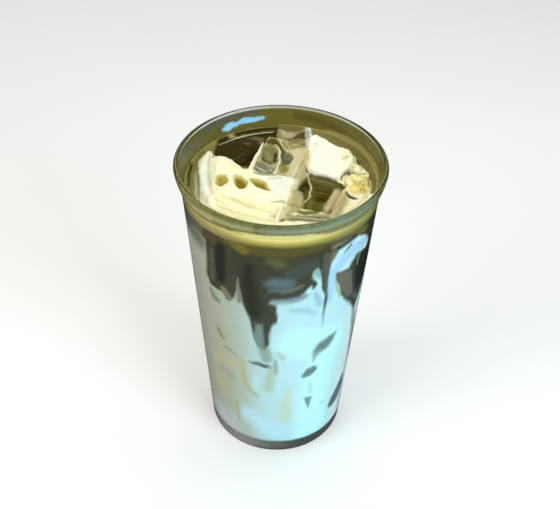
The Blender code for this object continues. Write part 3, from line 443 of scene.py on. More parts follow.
# Film on the glass above the drink: colour, softness, points as (degrees, mm, half width)
FILM_PATCHES = (
    ("grey left back", (98, 98, 80), 2.4, ((-125, 141.5, 1.6), (-165, 142, 1.4))),
    ("grey left side", (106, 107, 78), 3.0, ((-70, 141, 2.0), (-100, 141, 2.6), (-122, 138, 1.6))),
    ("dark streak left", (52, 48, 26), 1.2, ((-106, 135, 0.8), (-97, 135, 0.9))),
    ("brown at the back right", (88, 78, 24), 3.6, ((172, 140.4, 1.0), (158, 139.8, 1.3), (146, 138.8, 1.3), (136, 137.6, 1.0))),
    ("olive right side", (150, 142, 86), 1.6, ((152, 135.6, 1.0), (137, 136.0, 1.6), (120, 136.0, 1.6), (95, 136.4, 1.3), (78, 136.2, 0.8))),
    ("light line right", (160, 152, 94), 0.5, ((121, 136.7, 0.3), (100, 137.1, 0.3), (84, 136.3, 0.3))),
    ("dark line right", (96, 90, 38), 0.6, ((126, 138.4, 0.4), (105, 138.6, 0.5), (84, 138.0, 0.4))),
    # Painted reflection of bluish light on the inner wall at the back left, in two parts
    ("painted blue reflection", (162, 228, 255), 0.9, ((-142, 138.0, 0.9), (-145, 138.1, 1.6), (-148, 138.7, 1.2), (-151, 138.2, 0.7))),
    ("second painted blue reflection", (156, 220, 255), 0.8, ((-151.5, 138.8, 0.7), (-156, 139.3, 1.3), (-161, 139.0, 1.1), (-168, 139.2, 0.6))),
    ("olive front left", (172, 172, 112), 3.0, ((-66, 140.0, 1.2), (-34, 140.2, 1.4), (-15, 140.3, 1.0))),
    ("beige left side of the front", (196, 186, 130), 2.2, ((-46, 134.6, 1.0), (-66, 136.6, 1.4))),
    ("beige right side of the front", (180, 176, 116), 2.2, ((40, 135.2, 1.0), (60, 137.6, 1.4), (78, 139.4, 1.0))),
    ("beige under the left lip", (200, 188, 136), 1.8, ((-70, 139.6, 0.8), (-52, 138.6, 1.1), (-40, 138.4, 0.6))),
    ("teal in front", (136, 156, 130), 3.0, ((-10, 140.7, 0.6), (4, 140.6, 1.2), (26, 140.6, 1.6), (60, 141.0, 1.2))),
    ("beige front right", (154, 148, 98), 1.2, ((24, 136.2, 1.8), (36, 136.0, 1.4), (46, 135.4, 0.8))),
    ("yellow smear in front", (238, 228, 146), 1.4, ((-24, 135.9, 1.6), (0, 136.4, 2.1), (18, 136.3, 1.9), (25, 135.8, 1.0))),
    ("orange yellow front left", (216, 190, 92), 1.6, ((-46, 135.0, 0.8), (-34, 135.4, 1.2), (-22, 135.8, 1.4))),
    ("dark olive line under the front lip", (84, 92, 58), 0.6, ((-95, 142.6, 0.4), (0, 142.6, 0.4), (95, 142.6, 0.4))),
)


# Colour

def linear(colour):
    """Linear RGB of an sRGB colour given in 0 to 255."""
    share = np.array(colour, float) / 255.0
    return np.where(share <= 0.04045, share / 12.92, ((share + 0.055) / 1.055) ** 2.4)


def smoothstep(value):
    value = np.clip(value, 0.0, 1.0)
    return value * value * (3.0 - 2.0 * value)


def lattice(corner, seed):
    """A repeatable random number from 0 to 1 for each whole-numbered point."""
    mixed = corner[:, 0] * 374761393 + corner[:, 1] * 668265263 + corner[:, 2] * 1442695041 + seed * 97531
    mixed = mixed & 0xFFFFFFFF
    mixed = ((mixed ^ (mixed >> 13)) * 1274126177) & 0xFFFFFFFF
    return ((mixed ^ (mixed >> 16)) & 0xFFFF) / 65535.0


def noise(points, size, seed):
    """Smooth noise from -1 to 1 at points in mm; size is the width of a blotch in mm."""
    place = points / size
    base = np.floor(place).astype(np.int64)
    blend = smoothstep(place - base)
    total = np.zeros(len(points))
    for corner in product((0, 1), repeat=3):
        weight = np.ones(len(points))
        for axis, step in enumerate(corner):
            weight *= blend[:, axis] if step else 1.0 - blend[:, axis]
        total += weight * lattice(base + np.array(corner), seed)
    return 2.0 * total - 1.0


def layered_noise(points, size, seed):
    return (noise(points, size, seed) + 0.5 * noise(points, size / 2, seed + 1)) / 1.5


def stroke_mask(flat, points, softness):
    return smoothstep(stroke_distance(flat, points) / softness + 0.5)


def stroke_distance(flat, points):
    """Signed distance to a stroke whose half width changes from point to point, positive inside."""
    nearest = np.full(len(flat), -1e9)
    for first, second in zip(points, points[1:]):
        start = np.array(first[:2], float)
        along = np.array(second[:2], float) - start
        share = np.clip((flat - start) @ along / max(along @ along, 1e-9), 0.0, 1.0)
        distance = np.linalg.norm(flat - start - share[:, None] * along, axis=1)
        half_width = first[2] + share * (second[2] - first[2])
        nearest = np.maximum(nearest, half_width - distance)
    return nearest


def outline_distance(flat, outline):
    """Signed distance to a closed outline, positive inside."""
    nearest = np.full(len(flat), 1e9)
    inside = np.zeros(len(flat), bool)
    corners = np.array(outline, float)
    for start, end in zip(corners, np.roll(corners, -1, axis=0)):
        along = end - start
        share = np.clip((flat - start) @ along / (along @ along), 0.0, 1.0)
        distance = np.linalg.norm(flat - start - share[:, None] * along, axis=1)
        nearest = np.minimum(nearest, distance)
        crosses = (start[1] > flat[:, 1]) != (end[1] > flat[:, 1])
        slope = along[0] / along[1] if along[1] else 0.0
        inside ^= crosses & (flat[:, 0] < start[0] + slope * (flat[:, 1] - start[1]))
    return np.where(inside, nearest, -nearest)


def patch_mask(flat, points, softness):
    """How far each flat point lies inside a stroke, or inside a closed outline if its points have no half width."""
    distance = stroke_distance if len(points[0]) == 3 else outline_distance
    return smoothstep(distance(flat, points) / softness + 0.5)


def relief(flat, forms):
    """Height in mm of the named forms, added up."""
    height = np.zeros(len(flat))
    for _, rise, softness, points in forms:
        height += rise * patch_mask(flat, points, softness)
    return height


def paint(colours, flat, patches, scale=1.0, strength=1.0):
    """Lay named patches over the colours, in order; scale turns degrees into mm."""
    for _, colour, softness, points in patches:
        path = [(point[0] * scale, *point[1:]) for point in points]
        mask = (patch_mask(flat, path, softness) * strength)[:, None]
        colours[:] = colours * (1.0 - mask) + linear(colour) * mask


def by_angle(table, degrees):
    """Colours between those of a table by degrees."""
    values = np.array(list(table.values()), float)
    return np.stack([np.interp(degrees, list(table), values[:, channel]) for channel in range(3)], axis=1)


def wandering(flat):
    """Flat places in mm moved a little by noise, so that drawn borders on the surface wander."""
    points = np.column_stack([flat, np.zeros(len(flat))])
    coarse = np.stack([noise(points, 2.4, 41), noise(points, 2.4, 42)], axis=1)
    fine = np.stack([noise(points, 0.8, 47), noise(points, 0.8, 48)], axis=1)
    return flat + 0.30 * coarse + 0.10 * fine


def swirl(flat):
    """Noise from -1 to 1 drawn out along circles, as the froth's brush-like streaks run."""
    turn = np.arctan2(flat[:, 0], -flat[:, 1])
    drawn_out = np.column_stack([np.hypot(flat[:, 0], flat[:, 1]), 9.0 * turn, np.zeros(len(flat))])
    return 0.6 * noise(drawn_out, 1.5, 57) + 0.4 * noise(drawn_out, 0.7, 58)


# Meshes

def make_object(name, vertices, faces, material, colours=None, extra=None, sharp=None):
    """A mesh object from arrays, with its painted colours and further painted values."""
    mesh = bpy.data.meshes.new(name)
    mesh.from_pydata(np.asarray(vertices).tolist(), [], [tuple(face) for face in faces])
    mesh.validate()
    mesh.shade_smooth()
    if sharp is not None:
        mesh.set_sharp_from_angle(angle=radians(sharp))
    if colours is not None:
        layer = mesh.color_attributes.new("paint", "FLOAT_COLOR", "POINT")
        rgba = np.ones((len(mesh.vertices), 4), np.float32)
        rgba[:, :3] = colours
        layer.data.foreach_set("color", rgba.ravel())
    for key, values in (extra or {}).items():
        layer = mesh.attributes.new(key, "FLOAT", "POINT")
        layer.data.foreach_set("value", np.asarray(values, np.float32))
    mesh.materials.append(material)
    obj = bpy.data.objects.new(name, mesh)
    bpy.context.scene.collection.objects.link(obj)
    return obj


def ring_faces(rings, segments):
    """Quads between neighbouring rings of a turned mesh, as rows of vertex numbers."""
    faces = []
    for ring in range(rings - 1):
        low = ring * segments
        high = low + segments
        for step in range(segments):
            after = (step + 1) % segments
            faces.append((low + step, low + after, high + after, high + step))
    return faces


def cap_faces(ring, pole, segments, upwards):
    faces = []
    for step in range(segments):
        after = (step + 1) % segments
        pair = (ring * segments + step, ring * segments + after)
        faces.append((*pair, pole) if upwards else (*reversed(pair), pole))
    return faces


def turned(rings, segments):
    """Vertices and faces through rings, each an array of radii and an array of heights by angle."""
    angles = np.arange(segments) * 2 * pi / segments
    loops = []
    for radius, height in rings:
        radius = np.broadcast_to(radius, angles.shape)
        height = np.broadcast_to(height, angles.shape)
        loops.append(np.stack([radius * np.sin(angles), -radius * np.cos(angles), height], axis=1))
    return np.concatenate(loops), ring_faces(len(rings), segments)


def closed_turned(rings, bottom, top, segments):
    """A turned mesh closed by a point at its bottom and a point at its top."""
    vertices, faces = turned(rings, segments)
    poles = [(0.0, 0.0, bottom), (0.0, 0.0, top)]
    faces += cap_faces(0, len(vertices), segments, False)
    faces += cap_faces(len(rings) - 1, len(vertices) + 1, segments, True)
    return np.concatenate([vertices, poles]), faces


# Glass outline

def outer_radius(z):
    flare = smoothstep((z - GLASS_HEIGHT + FLARE_HEIGHT) / FLARE_HEIGHT)
    return CONE_RADIUS + CONE_SLOPE * z + FLARE_WIDTH * flare


def wall(z):
    return WALL_AT_FLOOR + (WALL_AT_RIM - WALL_AT_FLOOR) * z / GLASS_HEIGHT


def inner_radius(z):
    return outer_radius(z) - wall(z)


def fill_radius(z):
    return inner_radius(z) + WALL_OVERLAP


def floor_corner(extra, steps):
    """Points of the rounded corner inside the bottom, moved outwards by extra."""
    corner_top = FLOOR_HEIGHT + FLOOR_CORNER
    corner_x = inner_radius(corner_top) - FLOOR_CORNER
    radius = FLOOR_CORNER + extra
    angles = [pi / 2 * step / steps for step in range(steps + 1)]
    return [(corner_x + radius * sin(angle), corner_top - radius * cos(angle)) for angle in angles]


# Materials

def new_material(name):
    """A material with a Principled shader; returns it with its nodes, links and shader."""
    material = bpy.data.materials.new(name)
    material.use_nodes = True
    nodes = material.node_tree.nodes
    return material, nodes, material.node_tree.links, nodes["Principled BSDF"]


def painted_base(nodes, links, shader, amount, size):
    """Painted colour, made slightly lighter and darker by fine noise."""
    attribute = nodes.new("ShaderNodeVertexColor")
    attribute.layer_name = "paint"
    place = nodes.new("ShaderNodeTexCoord")
    grain = nodes.new("ShaderNodeTexNoise")
    grain.inputs["Scale"].default_value = 1.0 / size
    grain.inputs["Detail"].default_value = 3.0
    span = nodes.new("ShaderNodeMapRange")
    span.inputs["To Min"].default_value = 1.0 - amount
    span.inputs["To Max"].default_value = 1.0 + amount
    tint = nodes.new("ShaderNodeVectorMath")
    tint.operation = "SCALE"
    links.new(place.outputs["Object"], grain.inputs["Vector"])
    links.new(grain.outputs["Fac"], span.inputs["Value"])
    links.new(attribute.outputs["Color"], tint.inputs[0])
    links.new(span.outputs["Result"], tint.inputs["Scale"])
    links.new(tint.outputs["Vector"], shader.inputs["Base Color"])
    return place


def add_bump(nodes, links, shader, place, size, height, detail=2.0):
    relief = nodes.new("ShaderNodeTexNoise")
    relief.inputs["Scale"].default_value = 1.0 / size
    relief.inputs["Detail"].default_value = detail
    bump = nodes.new("ShaderNodeBump")
    bump.inputs["Strength"].default_value = 1.0
    bump.inputs["Distance"].default_value = height
    links.new(place.outputs["Object"], relief.inputs["Vector"])
    links.new(relief.outputs["Fac"], bump.inputs["Height"])
    links.new(bump.outputs["Normal"], shader.inputs["Normal"])


def link_value(nodes, links, shader, key, socket):
    value = nodes.new("ShaderNodeAttribute")
    value.attribute_name = key
    links.new(value.outputs["Fac"], shader.inputs[socket])


def glass_material():
    material, nodes, links, shader = new_material("clear_glass")
    shader.inputs["Transmission Weight"].default_value = 1.0
    shader.inputs["Roughness"].default_value = 0.0
    shader.inputs["IOR"].default_value = 1.5
    link_paint = nodes.new("ShaderNodeVertexColor")
    link_paint.layer_name = "paint"
    links.new(link_paint.outputs["Color"], shader.inputs["Base Color"])
    return material


def liquid_material(name, roughness, specular):
    material, nodes, links, shader = new_material(name)
    painted_base(nodes, links, shader, 0.04, 0.004)
    shader.inputs["Roughness"].default_value = roughness
    shader.inputs["Specular IOR Level"].default_value = specular
    return material


def froth_material():
    material, nodes, links, shader = new_material("froth_foam")
    place = painted_base(nodes, links, shader, 0.06, 0.0012)
    link_value(nodes, links, shader, "wetness", "Roughness")
    shader.inputs["Specular IOR Level"].default_value = 0.35
    add_bump(nodes, links, shader, place, 0.0009, 0.00022, 3.0)
    return material


def ice_material():
    material, nodes, links, shader = new_material("clouded_ice")
    place = painted_base(nodes, links, shader, 0.05, 0.002)
    link_value(nodes, links, shader, "clearness", "Transmission Weight")
    shader.inputs["Roughness"].default_value = 0.18
    shader.inputs["Specular IOR Level"].default_value = 0.25
    shader.inputs["IOR"].default_value = 1.31
    add_bump(nodes, links, shader, place, 0.004, 0.0005)
    return material


def film_material():
    material, nodes, links, shader = new_material("matcha_film")
    place = painted_base(nodes, links, shader, 0.08, 0.003)
    link_value(nodes, links, shader, "cover", "Alpha")
    shader.inputs["Roughness"].default_value = 0.25
    add_bump(nodes, links, shader, place, 0.002, 0.0002)
    return material


def bubble_material():
    material, nodes, links, shader = new_material("froth_bubbles")
    painted_base(nodes, links, shader, 0.05, 0.001)
    shader.inputs["Roughness"].default_value = 0.3
    return material


def floor_material():
    material, nodes, links, shader = new_material("pale_floor")
    place = nodes.new("ShaderNodeTexCoord")
    mottle = nodes.new("ShaderNodeTexNoise")
    mottle.inputs["Scale"].default_value = 3.0
    ramp = nodes.new("ShaderNodeValToRGB")
    ramp.color_ramp.elements[0].color = (0.93, 0.93, 0.93, 1.0)
    ramp.color_ramp.elements[1].color = (0.97, 0.97, 0.97, 1.0)
    links.new(place.outputs["Object"], mottle.inputs["Vector"])
    links.new(mottle.outputs["Fac"], ramp.inputs["Fac"])
    links.new(ramp.outputs["Color"], shader.inputs["Base Color"])
    shader.inputs["Roughness"].default_value = 0.9
    return material


# Glass

def make_glass():
    profile = [(FOOT_INNER_RADIUS * share, PUNT_RISE * (1.0 - share * share)) for share in np.linspace(0.1, 1.0, 8)]
    heel_x = outer_radius(HEEL_HEIGHT) - HEEL_WIDTH
    for angle in np.linspace(0.0, pi / 2, 10):
        profile.append((heel_x + HEEL_WIDTH * sin(angle), HEEL_HEIGHT * (1.0 - cos(angle))))
    flank = list(np.linspace(HEEL_HEIGHT, GLASS_HEIGHT - FLARE_HEIGHT, 24)[1:-1])
    lip_middle = GLASS_HEIGHT - wall(GLASS_HEIGHT) / 2
    heights = flank + list(np.linspace(GLASS_HEIGHT - FLARE_HEIGHT, lip_middle, 20))
    profile += [(outer_radius(z), z) for z in heights]
    lip = wall(lip_middle) / 2
    lip_centre = outer_radius(lip_middle) - lip
    for angle in np.linspace(0.0, pi, 14)[1:-1]:
        profile.append((lip_centre + lip * cos(angle), lip_middle + lip * sin(angle)))
    corner = floor_corner(0.0, 8)
    profile += [(inner_radius(z), z) for z in reversed(heights) if z > corner[-1][1] + 0.001]
    profile += list(reversed(corner))
    profile += [(corner[0][0] * share, FLOOR_HEIGHT) for share in (0.75, 0.5, 0.25)]
    vertices, faces = closed_turned(profile, PUNT_RISE, FLOOR_HEIGHT, GLASS_SEGMENTS)
    height = vertices[:, 2]
    colours = np.ones((len(vertices), 3)) * np.array((0.97, 0.99, 0.985))
    rim = smoothstep((height - 0.1415) / 0.0015)[:, None]
    foot = smoothstep((0.0062 - height) / 0.003)[:, None]
    degrees, _ = wall_places(vertices)
    # The rim's tint by angle carries painted light and shade
    rim_colour = by_angle(RIM_TINTS_WITH_LIGHT, degrees)
    colours = colours * (1.0 - rim) + rim_colour * rim
    # The foot's tint is painted shade
    colours = colours * (1.0 - foot) + by_angle(FOOT_SHADE_TINTS, degrees) * foot
    glass = make_object("glass_tumbler", vertices, faces, glass_material(), colours)
    glass.visible_shadow = False
    glass.visible_diffuse = False
    return glass


# Milk and matcha

def interface_height(angles, share):
    """The border between milk and matcha as in the part's source, for an array of angles."""
    height = INTERFACE_MEAN + INTERFACE_SWELL * (np.sin(3 * angles + 0.6) + 0.6 * np.cos(5 * angles)) * share
    near_wall = smoothstep((share - 1.0 + FINGER_REACH) / FINGER_REACH)
    degrees = np.degrees(angles)
    for centre, half_width, reach in FINGERS:
        away = (degrees - centre + 180.0) % 360.0 - 180.0
        height = height + reach * MM * near_wall * np.exp(-((away / half_width) ** 2))
    return height


def wall_places(vertices):
    """Degrees from the front and height in mm of points on or near the wall."""
    degrees = np.degrees(np.arctan2(vertices[:, 0], -vertices[:, 1]))
    return degrees, vertices[:, 2] / MM


def wall_colours(vertices):
    """Streaks of milk and matcha as they show through the glass."""
    points = vertices / MM
    degrees, height = wall_places(vertices)
    across = noise(points, 5.0, 3) + 0.6 * noise(points, 1.6, 5) + 0.3 * noise(points, 0.7, 6)
    along = noise(points, 6.0, 4) + 0.5 * noise(points, 1.4, 7)
    flat = np.stack([degrees * WALL_MM_PER_DEGREE, height], axis=1) + 0.42 * np.stack([across, along], axis=1)
    curtain = [(angle * WALL_MM_PER_DEGREE, z) for angle, z in CURTAIN]
    drawn = outline_distance(flat, curtain)
    natural = (height - interface_height(np.radians(degrees), 1.0) / MM) * 0.6
    natural += 4.0 * layered_noise(points * (1.0, 1.0, 0.5), 7.0, 11) + 1.8 * noise(points, 2.2, 12)
    behind = smoothstep((np.abs(degrees) - 74.0) / 10.0)
    edge = 1.1 + 1.8 * smoothstep(1.4 * noise(points, 10.0, 15)) + 1.4 * behind
    matcha = smoothstep((drawn * (1.0 - behind) + natural * behind) / edge + 0.5)
    fade = 1.0 - 0.8 * smoothstep((np.abs(degrees) - 74.0) / 16.0)

    # Milk colour by angle, with painted light: lighter and bluer on the right, greyer on the left
    milk = by_angle({angle: linear(colour) for angle, colour in MILK_COLOURS_WITH_LIGHT.items()}, degrees)
    clouds = layered_noise(points * (1.0, 1.0, 0.4), 9.0, 21)[:, None]
    back = behind[:, None] * smoothstep(clouds + 0.4)
    milk = milk * (1.0 - 0.55 * back) + linear((176, 190, 168)) * 0.55 * back
    near = np.exp(-((natural / 5.0) ** 2))[:, None] * behind[:, None]
    milk = milk * (1.0 - 0.7 * near) + linear((128, 150, 140)) * 0.7 * near
    paint(milk, flat, MILK_STREAKS, WALL_MM_PER_DEGREE, 0.9 * fade)
    paint(milk, flat, BOTTOM_LINE, WALL_MM_PER_DEGREE, 0.9)

    green = np.tile(linear((60, 61, 43)), (len(points), 1))
    depth = smoothstep((height - 96.0) / 30.0)[:, None]
    low = linear((64, 68, 55))
    green = low * (1.0 - depth) + green * depth
    drift = layered_noise(points * (1.0, 1.0, 0.5), 7.0, 31)[:, None]
    green = green * (1.0 + (0.25 + 0.3 * behind[:, None]) * drift)
    green = green * (1.0 - 0.5 * near) + linear((96, 108, 92)) * 0.5 * near
    paint(green, flat, MATCHA_STREAKS, WALL_MM_PER_DEGREE, 0.92 * fade)
    matcha = matcha[:, None]
    return milk * (1.0 - matcha) + green * matcha


def make_milk():
    angles = np.arange(CONTENT_SEGMENTS) * 2 * pi / CONTENT_SEGMENTS
    corner = floor_corner(WALL_OVERLAP, 6)
    rings = [(corner[0][0] * share, corner[0][1]) for share in (0.3, 0.6, 0.85)] + corner
    start = corner[-1][1]
    top = interface_height(angles, 1.0)
    for share in np.linspace(0.0, 1.0, 130)[1:]:
        z = start + (top - start) * share
        rings.append((fill_radius(z), z))
    for share in INTERFACE_SHARES:
        z = interface_height(angles, share)
        rings.append((share * fill_radius(z), z))
    vertices, faces = closed_turned(rings, corner[0][1], interface_height(np.zeros(1), 0.0)[0], CONTENT_SEGMENTS)
    colours = wall_colours(vertices)
    underside = smoothstep((FLOOR_HEIGHT + 0.0006 - vertices[:, 2]) / 0.0006)[:, None]
    # The underside's colour by angle carries painted light and shade
    below = by_angle(UNDERSIDE_COLOURS_WITH_LIGHT, wall_places(vertices)[0])
    colours = colours * (1.0 - underside) + linear(below) * underside
    return make_object("milk_body", vertices, faces, liquid_material("milk", 0.35, 0.2), colours, sharp=60)


def make_matcha():
    angles = np.arange(CONTENT_SEGMENTS) * 2 * pi / CONTENT_SEGMENTS
    rings = []
    for share in reversed(INTERFACE_SHARES):
        z = interface_height(angles, share)
        rings.append((share * fill_radius(z), z))
    low = interface_height(angles, 1.0)
    for share in np.linspace(0.0, 1.0, 72):
        z = low + (MATCHA_TOP - low) * share
        rings.append((fill_radius(z), z))
    rings += [(fill_radius(MATCHA_TOP) * share, MATCHA_TOP) for share in (0.8, 0.5, 0.2)]
    vertices, faces = closed_turned(rings, interface_height(np.zeros(1), 0.0)[0], MATCHA_TOP, CONTENT_SEGMENTS)
    return make_object("matcha_body", vertices, faces, liquid_material("matcha", 0.3, 0.2), wall_colours(vertices), sharp=60)


# Ice

def cube_turn(name):
    yaw, rise, drop = ICE[name][2]
    return Euler((radians(rise), radians(drop), radians(yaw)), "XYZ").to_matrix()


def cube_top(name, flat):
    """Height in mm of the plane of the cube's top over flat places."""
    centre = ICE[name][0]
    normal = cube_turn(name) @ Vector((0, 0, 1))
    moved = flat - np.array(centre[:2])
    return centre[2] - (moved[:, 0] * normal.x + moved[:, 1] * normal.y) / normal.z


def footprint(name, flat):
    """Signed distance in mm from flat places to the outline of the cube's top, negative inside."""
    (x, y, _), size, (yaw, _, _) = ICE[name]
    turn = radians(yaw)
    moved = flat - np.array((x, y))
    right = moved[:, 0] * cos(turn) + moved[:, 1] * sin(turn)
    back = -moved[:, 0] * sin(turn) + moved[:, 1] * cos(turn)
    past = np.stack([np.abs(right) - size[0] / 2, np.abs(back) - size[1] / 2], axis=1)
    outside = np.linalg.norm(np.maximum(past, 0.0), axis=1)
    inside = np.minimum(past.max(axis=1), 0.0)
    return outside + inside


def corner_places(name):
    """Corners of the worn cube, from the same random draws as in the part's source."""
    size = np.array(ICE[name][1]) * MM
    draw = np.random.default_rng(sum(name.encode()))
    signs = [(-1, -1, -1), (-1, 1, -1), (1, -1, -1), (1, 1, -1), (-1, -1, 1), (-1, 1, 1), (1, -1, 1), (1, 1, 1)]
    corners = {}
    for sign in signs:
        share = 1.0 if sign[2] > 0 else ICE_TAPER
        half = np.array((size[0] / 2 * share, size[1] / 2 * share, size[2] / 2))
        corners[sign] = np.array(sign) * half + draw.uniform(-1.0, 1.0, 3) * ICE_UNEVENNESS
        corners[sign][2] -= size[2] / 2
    return corners


def cube_grid():
    """Vertices of a unit cube's faces on an even grid, from -1 to 1, and its quads, welded."""
    steps = np.linspace(-1.0, 1.0, ICE_GRID + 1)
    numbers = {}
    vertices = []
    faces = []

    def number(point):
        key = tuple(np.round(point, 6))
        if key not in numbers:
            numbers[key] = len(vertices)
            vertices.append(point)
        return numbers[key]

    for axis, sign in product(range(3), (-1.0, 1.0)):
        first, second = [other for other in range(3) if other != axis]
        for i, j in product(range(ICE_GRID), repeat=2):
            quad = []
            for di, dj in ((0, 0), (1, 0), (1, 1), (0, 1)):
                point = [0.0, 0.0, 0.0]
                point[axis] = sign
                point[first] = steps[i + di]
                point[second] = steps[j + dj]
                quad.append(number(tuple(point)))
            even = (axis != 1) == (sign > 0)
            faces.append(tuple(quad) if even else tuple(reversed(quad)))
    return np.array(vertices), faces


def make_ice(name, grid, material):
    unit, faces = grid
    size = np.array(ICE[name][1]) * MM
    inner = size / 2 - ICE_BEVEL
    reach = unit * size / 2
    core = np.clip(reach, -inner, inner)
    away = reach - core
    length = np.linalg.norm(away, axis=1, keepdims=True)
    rounded = core + np.where(length > 1e-9, away / np.maximum(length, 1e-9) * ICE_BEVEL, 0.0)
    shares = (rounded / (size / 2) + 1.0) / 2.0
    shape = np.zeros_like(rounded)
    for sign, corner in corner_places(name).items():
        weight = np.ones(len(rounded))
        for axis in range(3):
            weight *= shares[:, axis] if sign[axis] > 0 else 1.0 - shares[:, axis]
        shape += weight[:, None] * corner
    normal = rounded / np.linalg.norm(rounded, axis=1, keepdims=True)
    seed = sum(name.encode())
    wobble = layered_noise(shape / MM, 7.0, seed)[:, None]
    shape -= normal * (0.00012 + 0.00012 * wobble)
    top = smoothstep((shape[:, 2] + 0.003) / 0.003)
    placed = shape @ np.array(cube_turn(name)).T + np.array(ICE[name][0]) * MM
    flat = wandering(placed[:, :2] / MM)
    placed[:, 2] += (relief(flat, ICE_RELIEF[name]) + holes(flat)) * top * MM
    colours = np.tile(linear(ICE_BASES[name]), (len(shape), 1))
    paint(colours, flat, TOP_PATCHES)
    if name in FROTH_COATS:
        clearness = np.zeros(len(shape))
    else:
        clearness = np.clip(0.5 - 0.9 * colours.mean(axis=1), 0.05, 0.4)
    obj = make_object(name + "_worn", placed, faces, material, colours, {"clearness": clearness})
    obj.visible_shadow = False
    return obj


# Froth

def holes(flat):
    """Depth in mm of the popped bubbles, as a negative height."""
    depth = np.zeros(len(flat))
    for _, _, points in POPPED_BUBBLES:
        depth -= HOLE_DEPTH * smoothstep(stroke_distance(flat, points) / 1.1 + 0.4)
    return depth


def froth_surface(x, y, share):
    """Height of the froth in metres, and how open it is, at places in mm."""
    flat = np.stack([x, y], axis=1)
    points = np.column_stack([flat, np.zeros(len(x))])
    places = wandering(flat)
    opened = np.zeros(len(x))
    for _, outline in OPENINGS:
        opened = np.maximum(opened, smoothstep(outline_distance(places, outline) / 0.9 + 0.5))
    collar = stroke_mask(places, FOAM_COLLAR, 0.8)
    opened *= 1.0 - collar
    height = 0.22 * layered_noise(points, 6.0, 43) + 0.12 * layered_noise(points, 1.8, 44) + 0.26 * swirl(places)
    height += relief(places, FROTH_RELIEF)
    for name, (coat, softness, outline) in FROTH_COATS.items():
        reach = np.maximum(outline_distance(places, outline), 0.4 - footprint(name, flat))
        covered = smoothstep(reach / softness + 0.5)
        height += covered * (cube_top(name, flat) - FROTH_TOP / MM + coat)
    height = height * (1.0 - 0.9 * opened) - 1.1 * opened
    height += holes(places)
    climb = cube_top("ice_cube_centre", flat) - FROTH_TOP / MM - 0.1 - 0.8 * smoothstep((y - 12.0) / 12.0)
    height = height * (1.0 - collar) + np.maximum(climb, height) * collar
    for name in ICE:
        if name in FROTH_COATS:
            continue
        distance = footprint(name, flat)
        height += 0.25 * np.exp(-((np.maximum(distance, 0.0) / 0.9) ** 2)) * (1.0 - opened)
        above = cube_top(name, flat) - FROTH_TOP / MM - height
        sunk = smoothstep((-distance - 0.3) / 1.0) * smoothstep(above / 0.5 + 1.0)
        height = height * (1.0 - sunk) - 3.6 * sunk
    cling = smoothstep((share - 0.965) / 0.035)
    edge = MENISCUS / MM - 1.3 * opened
    return FROTH_TOP + (height * (1.0 - cling) + edge * cling) * MM, opened


def froth_wall_colours(degrees, height):
    """The yellow band of froth behind the glass, darker towards the matcha, and darkened towards the sides as painted
    shade.
    """
    colours = by_angle({level: linear(colour) for level, colour in FROTH_BAND.items()}, height)
    # Painted shade towards the sides, to a warmer colour on the left than on the right
    side = smoothstep((np.abs(degrees - 2.0) - 10.0) / 36.0)[:, None]
    far = np.where(degrees < 0.0, 1.0, 0.0)[:, None]
    edge = linear((184, 164, 106)) * far + linear((156, 153, 92)) * (1.0 - far)
    return colours * (1.0 - side) + (colours * 0.35 + edge * 0.55) * side


def make_froth():
    segments = CONTENT_SEGMENTS
    angles = np.arange(segments) * 2 * pi / segments
    radius = fill_radius(FROTH_TOP)
    rings = [(fill_radius(FROTH_BOTTOM) * share, FROTH_BOTTOM) for share in (0.4, 0.8)]
    heights = np.linspace(FROTH_BOTTOM, FROTH_TOP + MENISCUS, 9)
    rings += [(fill_radius(z), z) for z in heights]
    wall_rings = len(rings)
    for share in np.concatenate([np.linspace(1.0, 0.9, 14)[1:], np.linspace(0.9, 0.02, 132)[1:]]):
        x = share * radius * np.sin(angles) / MM
        y = -share * radius * np.cos(angles) / MM
        z, _ = froth_surface(x, y, np.full(segments, share))
        rings.append((share * radius, z))
    centre = froth_surface(np.zeros(1), np.zeros(1), np.zeros(1))[0][0]
    vertices, faces = closed_turned(rings, FROTH_BOTTOM, centre, segments)
    degrees, height = wall_places(vertices)
    flat = vertices[:, :2] / MM
    share = np.linalg.norm(vertices[:, :2], axis=1) / radius
    _, opened = froth_surface(flat[:, 0], flat[:, 1], np.minimum(share, 1.0))
    places = wandering(flat)
    foam = np.tile(linear(FOAM_COLOUR), (len(vertices), 1))
    paint(foam, places, TOP_PATCHES)
    hollow = np.zeros(len(vertices))
    for _, colour, points in POPPED_BUBBLES:
        distance = stroke_distance(places, points)
        # Rim of each popped bubble, with a painted highlight on its wall
        edge = smoothstep(distance / 0.8 + 1.0)[:, None]
        foam = foam * (1.0 - edge) + linear(HOLE_RIM_AND_HIGHLIGHT_COLOUR) * edge
        deep = smoothstep(distance / 0.8 - 0.1)[:, None]
        foam = foam * (1.0 - deep) + linear(colour) * deep
        hollow = np.maximum(hollow, deep[:, 0])
    foam *= 1.0 - 0.03 * (1.0 + layered_noise(vertices / MM, 3.0, 53)[:, None])
    # Painted shade in streaks along the swirl, stronger near the wall
    streaky = 1.0 + 1.2 * smoothstep((np.hypot(flat[:, 0], flat[:, 1]) - 25.0) / 4.0)
    foam *= 1.0 - np.array((0.04, 0.06, 0.14)) * (streaky * np.maximum(swirl(places), 0.0))[:, None]
    liquid = np.tile(linear(LIQUID_COLOUR), (len(vertices), 1))
    paint(liquid, places, LIQUID_PATCHES)
    colours = foam * (1.0 - opened[:, None]) + liquid * opened[:, None]
    side = np.zeros((len(vertices), 1))
    side[:wall_rings * segments] = 1.0
    colours = colours * (1.0 - side) + froth_wall_colours(degrees, height) * side
    wetness = 0.6 - 0.45 * opened - 0.2 * hollow
    return make_object("froth_crust", vertices, faces, froth_material(), colours, {"wetness": wetness}, sharp=75)


# Film on the glass and bubbles

